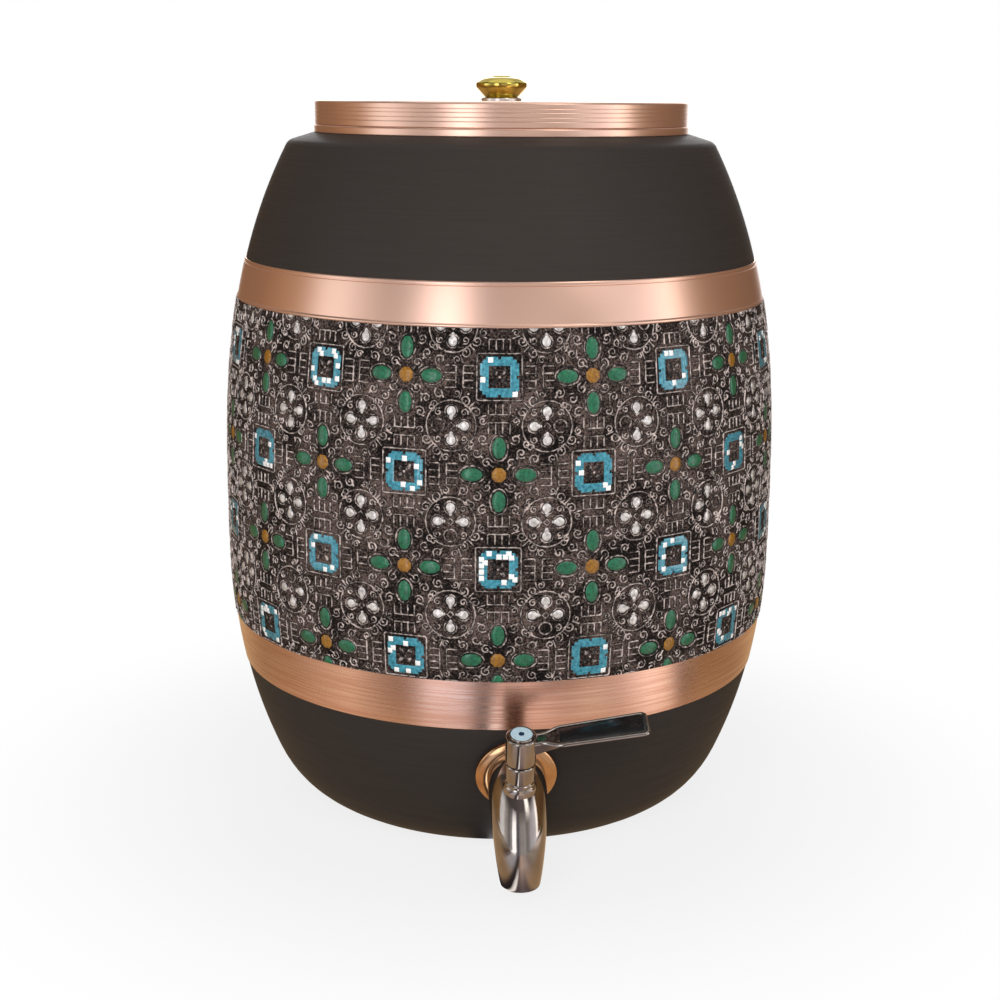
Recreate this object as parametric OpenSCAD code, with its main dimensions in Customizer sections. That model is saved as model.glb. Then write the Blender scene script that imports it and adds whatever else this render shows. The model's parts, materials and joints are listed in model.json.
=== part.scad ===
// Barrel-shaped copper water dispenser with a lift-off lid and a lever tap.
// The origin is the centre of the base on the table, Z is up and the tap faces -Y.

/* [Barrel] */
// Radius of the copper wall at its widest height
belly_r = 114.2; // [108:0.1:135]
// Height of the widest point above the table
belly_z = 119.2; // [105:0.1:135]
// Radius of the wall where the shoulder starts to turn in
shoulder_r = 87.7; // [78:0.1:97]
// Height at which the shoulder starts to turn in
shoulder_z = 274.9; // [260:0.1:310]
// Radius of the shoulder's rounded edge
shoulder_round = 4.8; // [3:0.1:6]
// Slope of the shoulder's top towards the neck, in degrees
shoulder_rise = 17; // [10:0.5:25]
// How late the wall turns in above the belly
upper_power = 3.05; // [2.4:0.05:3.4]
// How much narrower the wall would be at table height
foot_drop = 29.3; // [24:0.1:36]
// How late the wall turns in below the belly
lower_power = 2.4; // [2.1:0.05:2.7]
// Height at which the wall bends into the base
corner_z = 24; // [18:0.1:26]
// Thickness of the copper sheet
wall = 1; // [0.8:0.1:1.6]
// Height of the girth seam under the sleeve
seam_z = 148; // [130:1:190]
// Length of the lap at the girth seam
seam_lap = 8; // [5:0.5:12]

/* [Belt] */
// Lowest edge of the lower copper band
lower_band_z = 62.4; // [60.5:0.1:66]
// Width of the lower copper band
lower_band_h = 20.5; // [12:0.1:24]
// Highest edge of the upper copper band
upper_band_top = 230.3; // [215:0.1:250]
// Width of the upper copper band
upper_band_h = 16; // [10:0.1:22]
// How far the copper bands stand out from the wall
band_t = 0.4; // [0.3:0.05:0.8]
// How far the embossed sleeve's relief stands out from the wall
sleeve_t = 1; // [0.9:0.1:2]

/* [Neck and lid] */
// Width of the ledge from the shoulder's edge in to the mouth
ledge_w = 14.3; // [13:0.1:25]
// Thickness of the neck tube
neck_t = 1; // [0.8:0.1:1.4]
// Height of the bead that carries the lid
bead_h = 3.2; // [2:0.1:5]
// How far the bead stands out past the lid
bead_out = 0.4; // [0.2:0.1:1]
// Height of the neck tube above the bead
neck_h = 4.8; // [3:0.1:5]
// Height of the lid
lid_h = 9.6; // [9:0.1:14]
// Thickness of the lid sheet
lid_t = 0.9; // [0.6:0.1:1.2]
// Radius of the lid's rounded rim
lid_round = 2; // [1.5:0.25:3]
// Gap between the neck and the lid's skirt
lid_gap = 0.4; // [0.3:0.05:0.8]

/* [Knob] */
// Radius of the knob at its rim
knob_r = 10.5; // [8:0.1:14]
// Height of the knob above its rosette
knob_h = 8.6; // [8:0.1:12]
// Radius of the knob's foot
knob_foot_r = 6.6; // [5:0.1:7.5]
// Height of the knob's rim above its foot
knob_rim_z = 4.2; // [3.5:0.1:5]
// Width of the knob's rim
knob_rim_h = 1.6; // [1:0.1:2]
// Radius of the button on top of the knob
knob_button_r = 4; // [3:0.1:6]
// Height of that button
knob_button_h = 1.1; // [0.6:0.1:1.4]
// Radius of the rosette under the knob
rosette_r = 7; // [6:0.1:9]
// Thickness of the rosette
rosette_t = 1.3; // [0.8:0.1:2]
// Radius of the knob screw's thread
knob_screw_r = 2; // [1.5:0.1:2.5]
// Depth of the thread in the knob
knob_thread = 5; // [4:0.25:6]
// Radius of the washer inside the lid
knob_washer_r = 6; // [5:0.25:8]
// Thickness of that washer
knob_washer_t = 0.8; // [0.5:0.1:0.9]
// Height of the knob screw's head
knob_head_h = 1.7; // [1.2:0.1:1.8]

/* [Tap seat] */
// Height of the tap's centre on the wall
tap_z = 44.8; // [43:0.1:46]
// Radius of the threaded shank
shank_r = 8.3; // [7:0.1:9]
// Thickness of the outer rubber washer at its middle
outer_washer_t = 2; // [1.5:0.1:3]
// Thickness of the inner rubber washer at its middle
inner_washer_t = 2.2; // [2:0.1:3]
// Thickness of the flat washer under the nut
nut_washer_t = 1; // [0.8:0.1:1.5]
// Width of the lock nut across its flats
nut_flats = 24; // [22:0.5:27]
// Thickness of the lock nut
nut_t = 5; // [4:0.5:7]
// Length of thread left past the nut
shank_spare = 4; // [2:0.5:8]
// Radius of the flange
flange_r = 15.6; // [14:0.1:18]
// Thickness of the flange at its middle
flange_t = 3.6; // [2.5:0.1:5]
// Thickness of the flange at its edge
flange_edge = 1.4; // [1:0.1:2]

/* [Valve] */
// Distance from the wall to the valve's axis
valve_out = 17.5; // [17:0.1:22]
// Radius of the tap's chest in front of the flange
chest_r = 11.2; // [10.5:0.1:13]
// Radius of the water way
bore_r = 3; // [2:0.1:3.2]
// Radius of the valve plug
plug_r = 4.5; // [4.2:0.1:5]
// Running clearance round the plug and the stem
run_gap = 0.05; // [0.02:0.01:0.09]
// Height of the plug's top above the shank's axis
plug_top = 4; // [3.6:0.1:4.2]
// Depth of the plug's lower end below the shank's axis
plug_bottom = 7; // [6:0.1:8]
// Radius of the valve stem
stem_r = 3; // [2.6:0.1:3.2]
// Wall of the boss round the bonnet's thread
boss_wall = 0.75; // [0.6:0.05:1.2]
// Height of the seam between boss and bonnet
bonnet_z = 7; // [6.8:0.1:8]
// Height of the bonnet above its seam
bonnet_h = 11.1; // [9:0.1:13]
// Thickness of a stem seal
seal_t = 1; // [0.8:0.05:1]
// Distance between the two stem seals
seal_pitch = 3; // [2.5:0.1:4]

/* [Spout] */
// Distance of the spout's tip from the wall
tip_out = 35; // [33:0.1:40]
// Depth of the spout's tip below the shank's axis
tip_drop = 26; // [24:0.1:29]
// Radius of the spout's tip
tip_r = 7.4; // [6.5:0.1:8]
// How far the chest keeps straight before the spout's knee
knee_out = 20.5; // [18:0.1:22]
// Length over which the spout falls straight down to its tip
tip_fall = 12; // [10:0.1:14]
// Thickness of the spout's wall at its tip
spout_wall = 1.8; // [1.2:0.1:2.4]

/* [Lever] */
// Distance from the valve's axis to the end of the lever
lever_l = 47.4; // [44:0.1:65]
// Radius of the lever's hub
hub_r = 5.75; // [5.6:0.05:7]
// Height of the lever's hub
hub_h = 10.3; // [9:0.1:13]
// Play under the hub
hub_gap = 0.3; // [0.2:0.05:0.5]
// Side of the square drive
square_w = 4.2; // [3.8:0.1:4.2]
// Distance from the valve's axis to the paddle
paddle_start = 13.8; // [12:0.1:18]
// Width of the paddle at its outer end
paddle_w = 11.8; // [10:0.1:15]
// Width of the paddle next to the neck
paddle_root_w = 10.4; // [9:0.1:13]
// Thickness of the paddle
paddle_t = 3; // [2.5:0.1:4]
// Width of the lever's neck
neck_w = 6.6; // [5:0.1:8]
// Rise of the lever towards its end, in degrees
lever_rise = 9.5; // [4:0.5:12]
// Rounding of the paddle's corners
paddle_round = 2.4; // [1.5:0.1:3]
// Width of the metal rim round the inlay
rim_w = 2.2; // [1.6:0.1:2.6]
// Thickness of the inlay
inlay_t = 0.9; // [0.6:0.1:1.2]
// Radius of the cap on top of the hub
cap_r = 4.3; // [3.8:0.1:5]
// Height of the cap
cap_h = 2.3; // [1.8:0.1:3]
// Radius of the cap's screw thread
cap_screw_r = 1.25; // [1:0.05:1.4]
// Thickness of the indicator disc
disc_t = 0.6; // [0.4:0.1:0.8]

/* [Hidden] */
$fn = 96;

COPPER = "#b87a58";
LACQUER = "#45403c";
ENAMEL_BELT = "#5a4a42";
CHROME = "#c8c8cc";
BRASS = "#c9a24a";
RUBBER = "#26262a";
INLAY = "#141416";
PALE_BLUE = "#a9c9d6";

// Clearances between pieces that are fixed together, and overlaps of cuts
slip = 0.05;
skin_gap = 0.1;
thread_slip = 0.1;
shank_pass = 0.2;
plug_play = 0.2;
plug_pass = 0.3;
bonnet_pass = 0.1;
screw_spare = 1;
cut = 1;
hole_reach = 10;

// Small steps and margins
collar_margin = 0.5;
washer_inset = 0.8;
nut_washer_edge = 1;
knob_edge = 0.7;
slot_w = 1;
slot_d = 0.8;
seal_below = 3.2;
square_roof = 2.2;
paddle_below = 1.2;
cap_rim = 0.7;
way_step = 0.5;
way_inset = 0.15;

// Steps and sides of the curves
wall_steps = 18;
corner_steps = 8;
round_steps = 8;
fine_sides = 360;
corner_sides = 32;
nut_sides = 6;
spout_sides = 32;
spout_rings = 18;

// Barrel outline: radius of the copper wall's outside and its slope at a height
shoulder_drop = belly_r - shoulder_r;
upper_span = shoulder_z - belly_z;
function shell_r(z) = z > belly_z
    ? belly_r - shoulder_drop * pow((z - belly_z) / upper_span, upper_power)
    : belly_r - foot_drop * pow((belly_z - z) / belly_z, lower_power);
function lower_slope(z) =
    foot_drop * lower_power / belly_z * pow((belly_z - z) / belly_z, lower_power - 1);
function wall_path(from_z, to_z, grow) = [
    for (i = [0 : wall_steps])
        let (z = from_z + (to_z - from_z) * i / wall_steps)
        [shell_r(z) + grow, z]
];
function backwards(path) = [for (i = [len(path) - 1 : -1 : 0]) path[i]];

// Base corner: a curve that leaves the wall along its slope and ends on the table
corner_meet_r = shell_r(corner_z) - lower_slope(corner_z) * corner_z;
corner_leg = norm([shell_r(corner_z) - corner_meet_r, corner_z]);
base_r = corner_meet_r - corner_leg;
function bend(a, b, c, t) = (1 - t) * (1 - t) * a + 2 * t * (1 - t) * b + t * t * c;
function corner_path(inset) = [
    for (i = [0 : corner_steps])
        bend(
            [base_r, inset],
            [corner_meet_r - inset, inset],
            [shell_r(corner_z) - inset, corner_z],
            i / corner_steps
        )
];

// Neck and lid radii
mouth_r = shoulder_r - ledge_w;
neck_r = mouth_r + neck_t;
lid_in_r = neck_r + lid_gap;
lid_r = lid_in_r + lid_t;
bead_r = lid_r + bead_out;

// Shoulder: an arc that leaves the wall along its slope, a cone that rises to the
// neck, and a level ring that carries the neck collar
collar_seat_r = bead_r + collar_margin;
shoulder_lean = atan(shoulder_drop * upper_power / upper_span);
arc_r = shoulder_r - shoulder_round * cos(shoulder_lean);
arc_z = shoulder_z - shoulder_round * sin(shoulder_lean);
cone_r = arc_r + shoulder_round * sin(shoulder_rise);
cone_z = arc_z + shoulder_round * cos(shoulder_rise);
top_z = cone_z + (cone_r - collar_seat_r) * tan(shoulder_rise);
function shoulder_path(inset) = concat(
    [
        for (i = [0 : round_steps])
            let (a = shoulder_lean + (90 - shoulder_rise - shoulder_lean) * i / round_steps)
            [arc_r, arc_z] + (shoulder_round - inset) * [cos(a), sin(a)]
    ],
    [
        [collar_seat_r - inset * tan(shoulder_rise / 2), top_z - inset],
        [mouth_r, top_z - inset]
    ]
);

// Belt edges
lower_band_top = lower_band_z + lower_band_h;
upper_band_z = upper_band_top - upper_band_h;

// Lid heights
bead_top = top_z + bead_h;
lid_top = bead_top + lid_h;
lid_under = lid_top - lid_t;
rosette_top = lid_top + rosette_t;

// Tap frame: the wall's slope at the seat leans the whole tap
seat_r = shell_r(tap_z);
tap_lean = atan(lower_slope(tap_z));
wall_through = wall * cos(tap_lean);
washer_r = flange_r - washer_inset;
shank_hole_r = shank_r + shank_pass;
flange_back = outer_washer_t;
flange_front = flange_back + flange_t;
nut_washer_back = -wall_through - inner_washer_t - nut_washer_t;
nut_back = nut_washer_back - nut_t;
shank_end = nut_back - shank_spare;
nut_washer_r = nut_flats / 2 + nut_washer_edge;
nut_r = nut_flats / 2 / cos(180 / nut_sides);

// Valve heights along the stem
bonnet_foot = plug_top + plug_play;
bonnet_thread_r = plug_r + plug_pass;
bonnet_r = bonnet_thread_r + thread_slip + boss_wall;
bonnet_top = bonnet_z + bonnet_h;
hub_z = bonnet_top + hub_gap;
hub_top = hub_z + hub_h;
square_top = hub_top - square_roof;
seal_z = bonnet_top - seal_below;
cap_top = hub_top + cap_h;

// Paddle: slopes up about a line through the hub
paddle_z = hub_top - paddle_t - paddle_below;

// Places a piece in the tap's own frame: -Y out of the wall, Z along the stem
module on_tap() {
    translate([0, -seat_r, tap_z])
        rotate([tap_lean, 0, 0])
            children();
}

// A cylinder along the shank between two distances from the wall
module along_shank(from, to, r) {
    translate([0, -from, 0])
        rotate([90, 0, 0])
            cylinder(h = to - from, r = r);
}

// Moves a piece from the seat to the valve's axis
module on_valve() {
    translate([0, -valve_out, 0])
        children();
}

// A ring of the wall, thickened outwards, between two heights
module belt(from_z, to_z, inside, outside) {
    rotate_extrude()
        polygon(concat(
            wall_path(from_z, to_z, outside),
            backwards(wall_path(from_z, to_z, inside))
        ));
}

// The barrel below the belly as one filled solid, shrunk by an inset
module filled_bowl(inset) {
    rotate_extrude($fn = fine_sides)
        polygon(concat(
            [[0, inset]],
            corner_path(inset),
            wall_path(corner_z, belly_z, -inset),
            [[0, belly_z]]
        ));
}

// A plate along +X that widens towards its end, with round corners
module paddle_plate(inset, thick) {
    r = max(paddle_round - inset, paddle_round / 3);
    linear_extrude(thick)
        hull()
            for (side = [-1, 1]) {
                translate([paddle_start + inset + r, side * (paddle_root_w / 2 - inset - r)])
                    circle(r, $fn = corner_sides);
                translate([lever_l - inset - r, side * (paddle_w / 2 - inset - r)])
                    circle(r, $fn = corner_sides);
            }
}

// Rings of points joined into one closed tube with flat ends
module loft(rings) {
    sides = len(rings[0]);
    last = len(rings) - 1;
    points = [for (ring = rings) each ring];
    skin = [
        for (i = [0 : last - 1], k = [0 : sides - 1])
            let (a = i * sides + k, b = i * sides + (k + 1) % sides)
            each [[a, b, b + sides], [a, b + sides, a + sides]]
    ];
    foot = [[for (k = [sides - 1 : -1 : 0]) k]];
    head = [[for (k = [0 : sides - 1]) last * sides + k]];
    polyhedron(points, concat(skin, foot, head));
}

// Spout: rings on a curve from the flange to the tip, which falls straight down, and the
// water way inside it, which starts in front of the plug and runs a little past the tip
spout_taper = 1.8;
way_end = 1.03;
tip_dir = [sin(tap_lean), -cos(tap_lean)];
spout_tip = [tip_out, -tip_drop];
spout_fall = spout_tip - tip_fall * tip_dir;
spout_path = [[flange_front, 0], [knee_out, 0], spout_fall, spout_tip];
way_path = [[valve_out + plug_r + way_step, 0], spout_fall, spout_fall, spout_tip];
function spout_point(path, t) =
    (1 - t) * bend(path[0], path[1], path[2], t) + t * bend(path[1], path[2], path[3], t);
function spout_dir(path, t) =
    let (d = bend(path[1] - path[0], path[2] - path[1], path[3] - path[2], t))
    d / norm(d);
function spout_ring(path, t, r) =
    let (p = spout_point(path, t), d = spout_dir(path, t))
    [
        for (k = [0 : spout_sides - 1])
            let (a = 360 * k / spout_sides)
            [
                r * cos(a),
                -(p[0] + r * sin(a) * d[1]),
                p[1] - r * sin(a) * d[0]
            ]
    ];
way_root_r = bore_r - way_inset;
function spout_r(t) = chest_r + (tip_r - chest_r) * pow(t, spout_taper);
function way_r(t) = way_root_r + (tip_r - spout_wall - way_root_r) * t;

module spout_outside() {
    loft([
        for (i = [0 : spout_rings])
            let (t = i / spout_rings)
            spout_ring(spout_path, t, spout_r(t))
    ]);
}

module spout_way() {
    loft([
        for (i = [0 : spout_rings])
            let (t = way_end * i / spout_rings)
            spout_ring(way_path, t, way_r(t))
    ]);
}

module upper_shell() {
    color(LACQUER)
        rotate_extrude()
            polygon(concat(
                wall_path(seam_z, shoulder_z, 0),
                shoulder_path(0),
                backwards(shoulder_path(wall)),
                backwards(wall_path(seam_z, shoulder_z, -wall))
            ));
}

module lower_shell() {
    lap = wall + slip;
    color(LACQUER)
        difference() {
            rotate_extrude()
                polygon(concat(
                    [[0, 0]],
                    corner_path(0),
                    wall_path(corner_z, seam_z, 0),
                    wall_path(seam_z, seam_z + seam_lap, -lap),
                    backwards(wall_path(seam_z - lap, seam_z + seam_lap, -lap - wall)),
                    backwards(wall_path(corner_z, seam_z - 2 * lap, -wall)),
                    backwards(corner_path(wall)),
                    [[0, wall]]
                ));
            on_tap()
                along_shank(-hole_reach, hole_reach, shank_hole_r);
        }
}

module neck_collar() {
    color(COPPER)
        translate([0, 0, top_z])
            rotate_extrude() {
                translate([mouth_r, 0])
                    square([bead_r - mouth_r, bead_h]);
                translate([mouth_r, 0])
                    square([neck_t, bead_h + neck_h]);
            }
}

module upper_band() {
    color(COPPER)
        belt(upper_band_z, upper_band_top, skin_gap, band_t);
}

module lower_band() {
    color(COPPER)
        belt(lower_band_z, lower_band_top, skin_gap, band_t);
}

module embossed_sleeve() {
    color(ENAMEL_BELT)
        belt(lower_band_top, upper_band_z, skin_gap, sleeve_t);
}

module tap_body() {
    color(CHROME)
        on_tap()
            difference() {
                union() {
                    along_shank(shank_end, flange_front + cut, shank_r);
                    on_valve()
                        cylinder(h = bonnet_z, r = bonnet_r);
                    spout_outside();
                }
                along_shank(shank_end - cut, way_path[0][0] + way_step, bore_r);
                on_valve()
                    translate([0, 0, -plug_bottom - plug_play])
                        cylinder(h = bonnet_foot + plug_bottom + plug_play + cut, r = plug_r + run_gap);
                on_valve()
                    translate([0, 0, bonnet_foot])
                        cylinder(h = bonnet_z, r = bonnet_thread_r + thread_slip);
                on_valve()
                    translate([0, 0, bonnet_z])
                        cylinder(h = bonnet_h, r = bonnet_r + bonnet_pass);
                spout_way();
            }
}

module tap_flange() {
    dome_h = flange_t - flange_edge;
    dome_w = flange_r - chest_r;
    color(CHROME)
        on_tap()
            translate([0, -flange_back, 0])
                rotate([90, 0, 0])
                    rotate_extrude()
                        polygon(concat(
                            [[shank_hole_r, 0], [flange_r, 0]],
                            [
                                for (i = [0 : round_steps])
                                    let (a = 90 * i / round_steps)
                                    [chest_r + dome_w * cos(a), flange_edge + dome_h * sin(a)]
                            ],
                            [[shank_hole_r, flange_t]]
                        ));
}

module outer_washer() {
    color(RUBBER)
        difference() {
            on_tap()
                difference() {
                    along_shank(-outer_washer_t, flange_back, washer_r);
                    along_shank(-outer_washer_t - cut, flange_back + cut, shank_hole_r);
                }
            filled_bowl(-slip);
        }
}

module inner_washer() {
    color(RUBBER)
        intersection() {
            on_tap()
                difference() {
                    along_shank(-wall_through - inner_washer_t, 0, nut_washer_r);
                    along_shank(-wall_through - inner_washer_t - cut, cut, shank_hole_r);
                }
            filled_bowl(wall + slip);
        }
}

module nut_washer() {
    color(BRASS)
        on_tap()
            difference() {
                along_shank(nut_washer_back, nut_washer_back + nut_washer_t, nut_washer_r);
                along_shank(nut_washer_back - cut, nut_washer_back + nut_washer_t + cut, shank_hole_r);
            }
}

module lock_nut() {
    color(BRASS)
        on_tap()
            difference() {
                translate([0, -nut_back, 0])
                    rotate([90, 0, 0])
                        cylinder(h = nut_t, r = nut_r, $fn = nut_sides);
                along_shank(nut_back - cut, nut_washer_back + cut, shank_r + thread_slip);
            }
}

module bonnet() {
    color(CHROME)
        on_tap()
            on_valve()
                difference() {
                    union() {
                        translate([0, 0, bonnet_foot])
                            cylinder(h = bonnet_z - bonnet_foot, r = bonnet_thread_r);
                        translate([0, 0, bonnet_z])
                            cylinder(h = bonnet_h, r = bonnet_r);
                    }
                    cylinder(h = bonnet_top + cut, r = stem_r + run_gap);
                }
}

module lid_cap() {
    rim = lid_r - lid_round;
    in_round = lid_round - lid_t;
    color(COPPER)
        rotate_extrude()
            difference() {
                translate([0, bead_top])
                    union() {
                        square([rim, lid_h]);
                        square([lid_r, lid_h - lid_round]);
                        translate([rim, lid_h - lid_round])
                            circle(lid_round);
                    }
                translate([0, bead_top - cut])
                    union() {
                        square([rim, lid_h - lid_t + cut]);
                        square([lid_in_r, lid_h - lid_round + cut]);
                        translate([rim, lid_h - lid_round + cut])
                            circle(in_round);
                    }
                square([knob_screw_r + slip, lid_top + cut]);
                translate([-lid_r, 0])
                    square([lid_r, lid_top + cut]);
            }
}

module knob_rosette() {
    color(BRASS)
        translate([0, 0, lid_top])
            difference() {
                cylinder(h = rosette_t, r = rosette_r);
                translate([0, 0, -cut])
                    cylinder(h = rosette_t + 2 * cut, r = knob_screw_r + slip);
            }
}

module lid_knob() {
    rim_top = knob_rim_z + knob_rim_h;
    button_z = knob_h - knob_button_h;
    color(BRASS)
        translate([0, 0, rosette_top])
            difference() {
                rotate_extrude()
                    polygon([
                        [0, 0],
                        [knob_foot_r, 0],
                        [knob_r, knob_rim_z],
                        [knob_r, rim_top - knob_edge],
                        [knob_r - knob_edge, rim_top],
                        [knob_foot_r, button_z],
                        [knob_button_r + knob_edge, button_z],
                        [knob_button_r, knob_h - knob_edge / 2],
                        [knob_button_r - knob_edge, knob_h],
                        [0, knob_h]
                    ]);
                translate([0, 0, -cut])
                    cylinder(h = knob_thread + cut, r = knob_screw_r + slip);
            }
}

module knob_washer() {
    color(BRASS)
        translate([0, 0, lid_under - knob_washer_t])
            difference() {
                cylinder(h = knob_washer_t, r = knob_washer_r);
                translate([0, 0, -cut])
                    cylinder(h = knob_washer_t + 2 * cut, r = knob_screw_r + slip);
            }
}

module knob_screw() {
    head_top = lid_under - knob_washer_t;
    head_r = 2 * knob_screw_r;
    tip_z = rosette_top + knob_thread - screw_spare;
    color(BRASS)
        difference() {
            union() {
                translate([0, 0, head_top - knob_head_h])
                    cylinder(h = knob_head_h, r = head_r);
                translate([0, 0, head_top])
                    cylinder(h = tip_z - head_top, r = knob_screw_r);
            }
            translate([-head_r - cut, -slot_w / 2, head_top - knob_head_h - cut])
                cube([2 * (head_r + cut), slot_w, slot_d + cut]);
        }
}

module spindle() {
    color(BRASS)
        on_tap()
            on_valve()
                difference() {
                    union() {
                        translate([0, 0, -plug_bottom])
                            cylinder(h = plug_top + plug_bottom, r = plug_r);
                        cylinder(h = hub_z, r = stem_r);
                        translate([-square_w / 2, -square_w / 2, 0])
                            cube([square_w, square_w, square_top]);
                    }
                    rotate([0, 90, 0])
                        cylinder(h = 2 * (plug_r + cut), r = bore_r, center = true);
                    for (i = [0, 1])
                        translate([0, 0, seal_z - i * seal_pitch - seal_t / 2])
                            difference() {
                                cylinder(h = seal_t, r = stem_r + cut);
                                cylinder(h = seal_t, r = stem_r - seal_t);
                            }
                    translate([0, 0, hub_z])
                        cylinder(h = hub_h, r = cap_screw_r + slip);
                }
}

module spindle_o_rings() {
    color(RUBBER)
        on_tap()
            on_valve()
                for (i = [0, 1])
                    translate([0, 0, seal_z - i * seal_pitch])
                        rotate_extrude()
                            translate([stem_r - seal_t / 2, 0])
                                circle(seal_t / 2 - slip / 2);
}

module on_paddle() {
    translate([0, 0, paddle_z])
        rotate([0, -lever_rise, 0])
            children();
}

module lever() {
    color(CHROME)
        on_tap()
            on_valve()
                difference() {
                    union() {
                        translate([0, 0, hub_z])
                            cylinder(h = hub_h, r = hub_r);
                        on_paddle() {
                            translate([0, -neck_w / 2, 0])
                                cube([paddle_start + 2 * paddle_round, neck_w, paddle_t]);
                            paddle_plate(0, paddle_t);
                        }
                    }
                    on_paddle()
                        translate([0, 0, paddle_t - inlay_t])
                            paddle_plate(rim_w, inlay_t + cut);
                    translate([-square_w / 2 - slip, -square_w / 2 - slip, hub_z - cut])
                        cube([square_w + 2 * slip, square_w + 2 * slip, square_top - hub_z + cut + slip]);
                    translate([0, 0, hub_z])
                        cylinder(h = hub_h + cut, r = cap_screw_r + slip);
                }
}

module lever_insert() {
    color(INLAY)
        on_tap()
            on_valve()
                on_paddle()
                    translate([0, 0, paddle_t - inlay_t])
                        paddle_plate(rim_w + slip, inlay_t - 2 * slip);
}

module cap_screw() {
    screw_depth = hub_h - screw_spare;
    color(CHROME)
        on_tap()
            on_valve()
                difference() {
                    union() {
                        translate([0, 0, hub_top])
                            cylinder(h = cap_h, r = cap_r);
                        translate([0, 0, hub_top - screw_depth])
                            cylinder(h = screw_depth, r = cap_screw_r);
                    }
                    translate([0, 0, cap_top - disc_t])
                        cylinder(h = disc_t + cut, r = cap_r - cap_rim);
                }
}

module indicator_disc() {
    color(PALE_BLUE)
        on_tap()
            on_valve()
                translate([0, 0, cap_top - disc_t])
                    cylinder(h = disc_t - 2 * slip, r = cap_r - cap_rim - slip);
}

upper_shell();
lower_shell();
neck_collar();
upper_band();
lower_band();
embossed_sleeve();
tap_body();
tap_flange();
outer_washer();
inner_washer();
nut_washer();
lock_nut();
bonnet();
lid_cap();
knob_rosette();
lid_knob();
knob_washer();
knob_screw();
spindle();
spindle_o_rings();
lever();
lever_insert();
cap_screw();
indicator_disc();
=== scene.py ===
"""Looks of a barrel-shaped copper water dispenser with an embossed belt and a lever tap.

Sizes are in millimetres and turn to metres where a mesh is made.
"""

import json
import logging
import math
from collections.abc import Sequence
from dataclasses import dataclass
from enum import Enum

import bmesh
import bpy
from mathutils import Matrix, Vector


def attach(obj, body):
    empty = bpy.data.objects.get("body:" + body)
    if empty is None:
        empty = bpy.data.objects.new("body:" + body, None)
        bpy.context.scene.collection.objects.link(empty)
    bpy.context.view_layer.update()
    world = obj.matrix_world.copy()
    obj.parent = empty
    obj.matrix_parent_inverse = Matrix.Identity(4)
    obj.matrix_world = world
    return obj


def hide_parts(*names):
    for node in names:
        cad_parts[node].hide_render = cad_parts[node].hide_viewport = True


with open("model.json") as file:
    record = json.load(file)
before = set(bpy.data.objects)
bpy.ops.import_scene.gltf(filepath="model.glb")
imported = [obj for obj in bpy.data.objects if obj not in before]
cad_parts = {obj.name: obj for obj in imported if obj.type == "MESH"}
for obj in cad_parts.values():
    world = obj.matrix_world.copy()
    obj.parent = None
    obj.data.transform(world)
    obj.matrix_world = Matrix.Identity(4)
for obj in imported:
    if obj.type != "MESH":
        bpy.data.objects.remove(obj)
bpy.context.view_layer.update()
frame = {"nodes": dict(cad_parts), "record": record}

LOG = logging.getLogger("dispenser")
MM = 0.001
CREASE_DEG = 32.0
Point = tuple[float, float]
Ring = list[bmesh.types.BMVert]
Socket = bpy.types.NodeSocket
Tree = bpy.types.NodeTree


class Body(str, Enum):
    """Moving and fixed bodies of the part."""

    VESSEL = "vessel"
    LID = "lid"
    LEVER = "tap_lever"


class Slot(str, Enum):
    """Material slots of the part's record."""

    LACQUER = "lacquered_copper"
    BRUSHED = "brushed_copper"
    EMBOSSED = "embossed_copper"
    CHROME = "chrome"
    BRASS = "brass"
    INLAY = "black_inlay"
    DISC = "blue_disc"


class Host(Enum):
    """Places of the belt's lattice that carry a motif."""

    FLOWER = 0
    FRAME = 1
    ROSETTE = 2


def linear(code: str) -> tuple[float, float, float, float]:
    """Turns an sRGB hex colour to linear RGBA.

    Args:
        code: Colour such as "#c08060".

    Returns:
        Linear red, green, blue and an alpha of 1.
    """
    parts = [int(code[i:i + 2], 16) / 255 for i in (1, 3, 5)]
    low = [c / 12.92 if c <= 0.04045 else ((c + 0.055) / 1.055) ** 2.4 for c in parts]
    return (low[0], low[1], low[2], 1.0)


def add_node(tree: Tree, kind: str, values: dict | None = None, **settings) -> bpy.types.Node:
    """Adds a node, sets its properties and fills or links its inputs.

    Args:
        tree: Node tree that takes the node.
        kind: Blender's type name of the node.
        values: Input name or index, with a constant, an output socket or a list of output sockets.
        **settings: Properties of the node itself.

    Returns:
        The new node.
    """
    node = tree.nodes.new(kind)
    for key, value in settings.items():
        setattr(node, key, value)
    for key, value in (values or {}).items():
        for item in value if isinstance(value, list) else [value]:
            if isinstance(item, Socket):
                tree.links.new(item, node.inputs[key])
            else:
                node.inputs[key].default_value = item
    return node


def polar(tree: Tree) -> tuple[Socket, Socket, Socket]:
    """Adds cylinder coordinates round the upright axis.

    Args:
        tree: Node tree that takes them.

    Returns:
        Angle from the front in radians, radius and height in metres.
    """
    place = add_node(tree, "ShaderNodeTexCoord").outputs["Object"]
    parts = add_node(tree, "ShaderNodeSeparateXYZ", {0: place}).outputs
    front = add_node(tree, "ShaderNodeMath", {0: parts["Y"], 1: -1.0}, operation="MULTIPLY").outputs[0]
    angle = add_node(tree, "ShaderNodeMath", {0: parts["X"], 1: front}, operation="ARCTAN2").outputs[0]
    level = add_node(tree, "ShaderNodeCombineXYZ", {"X": parts["X"], "Y": parts["Y"]}).outputs[0]
    radius = add_node(tree, "ShaderNodeVectorMath", {0: level}, operation="LENGTH").outputs["Value"]
    return angle, radius, parts["Z"]


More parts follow.
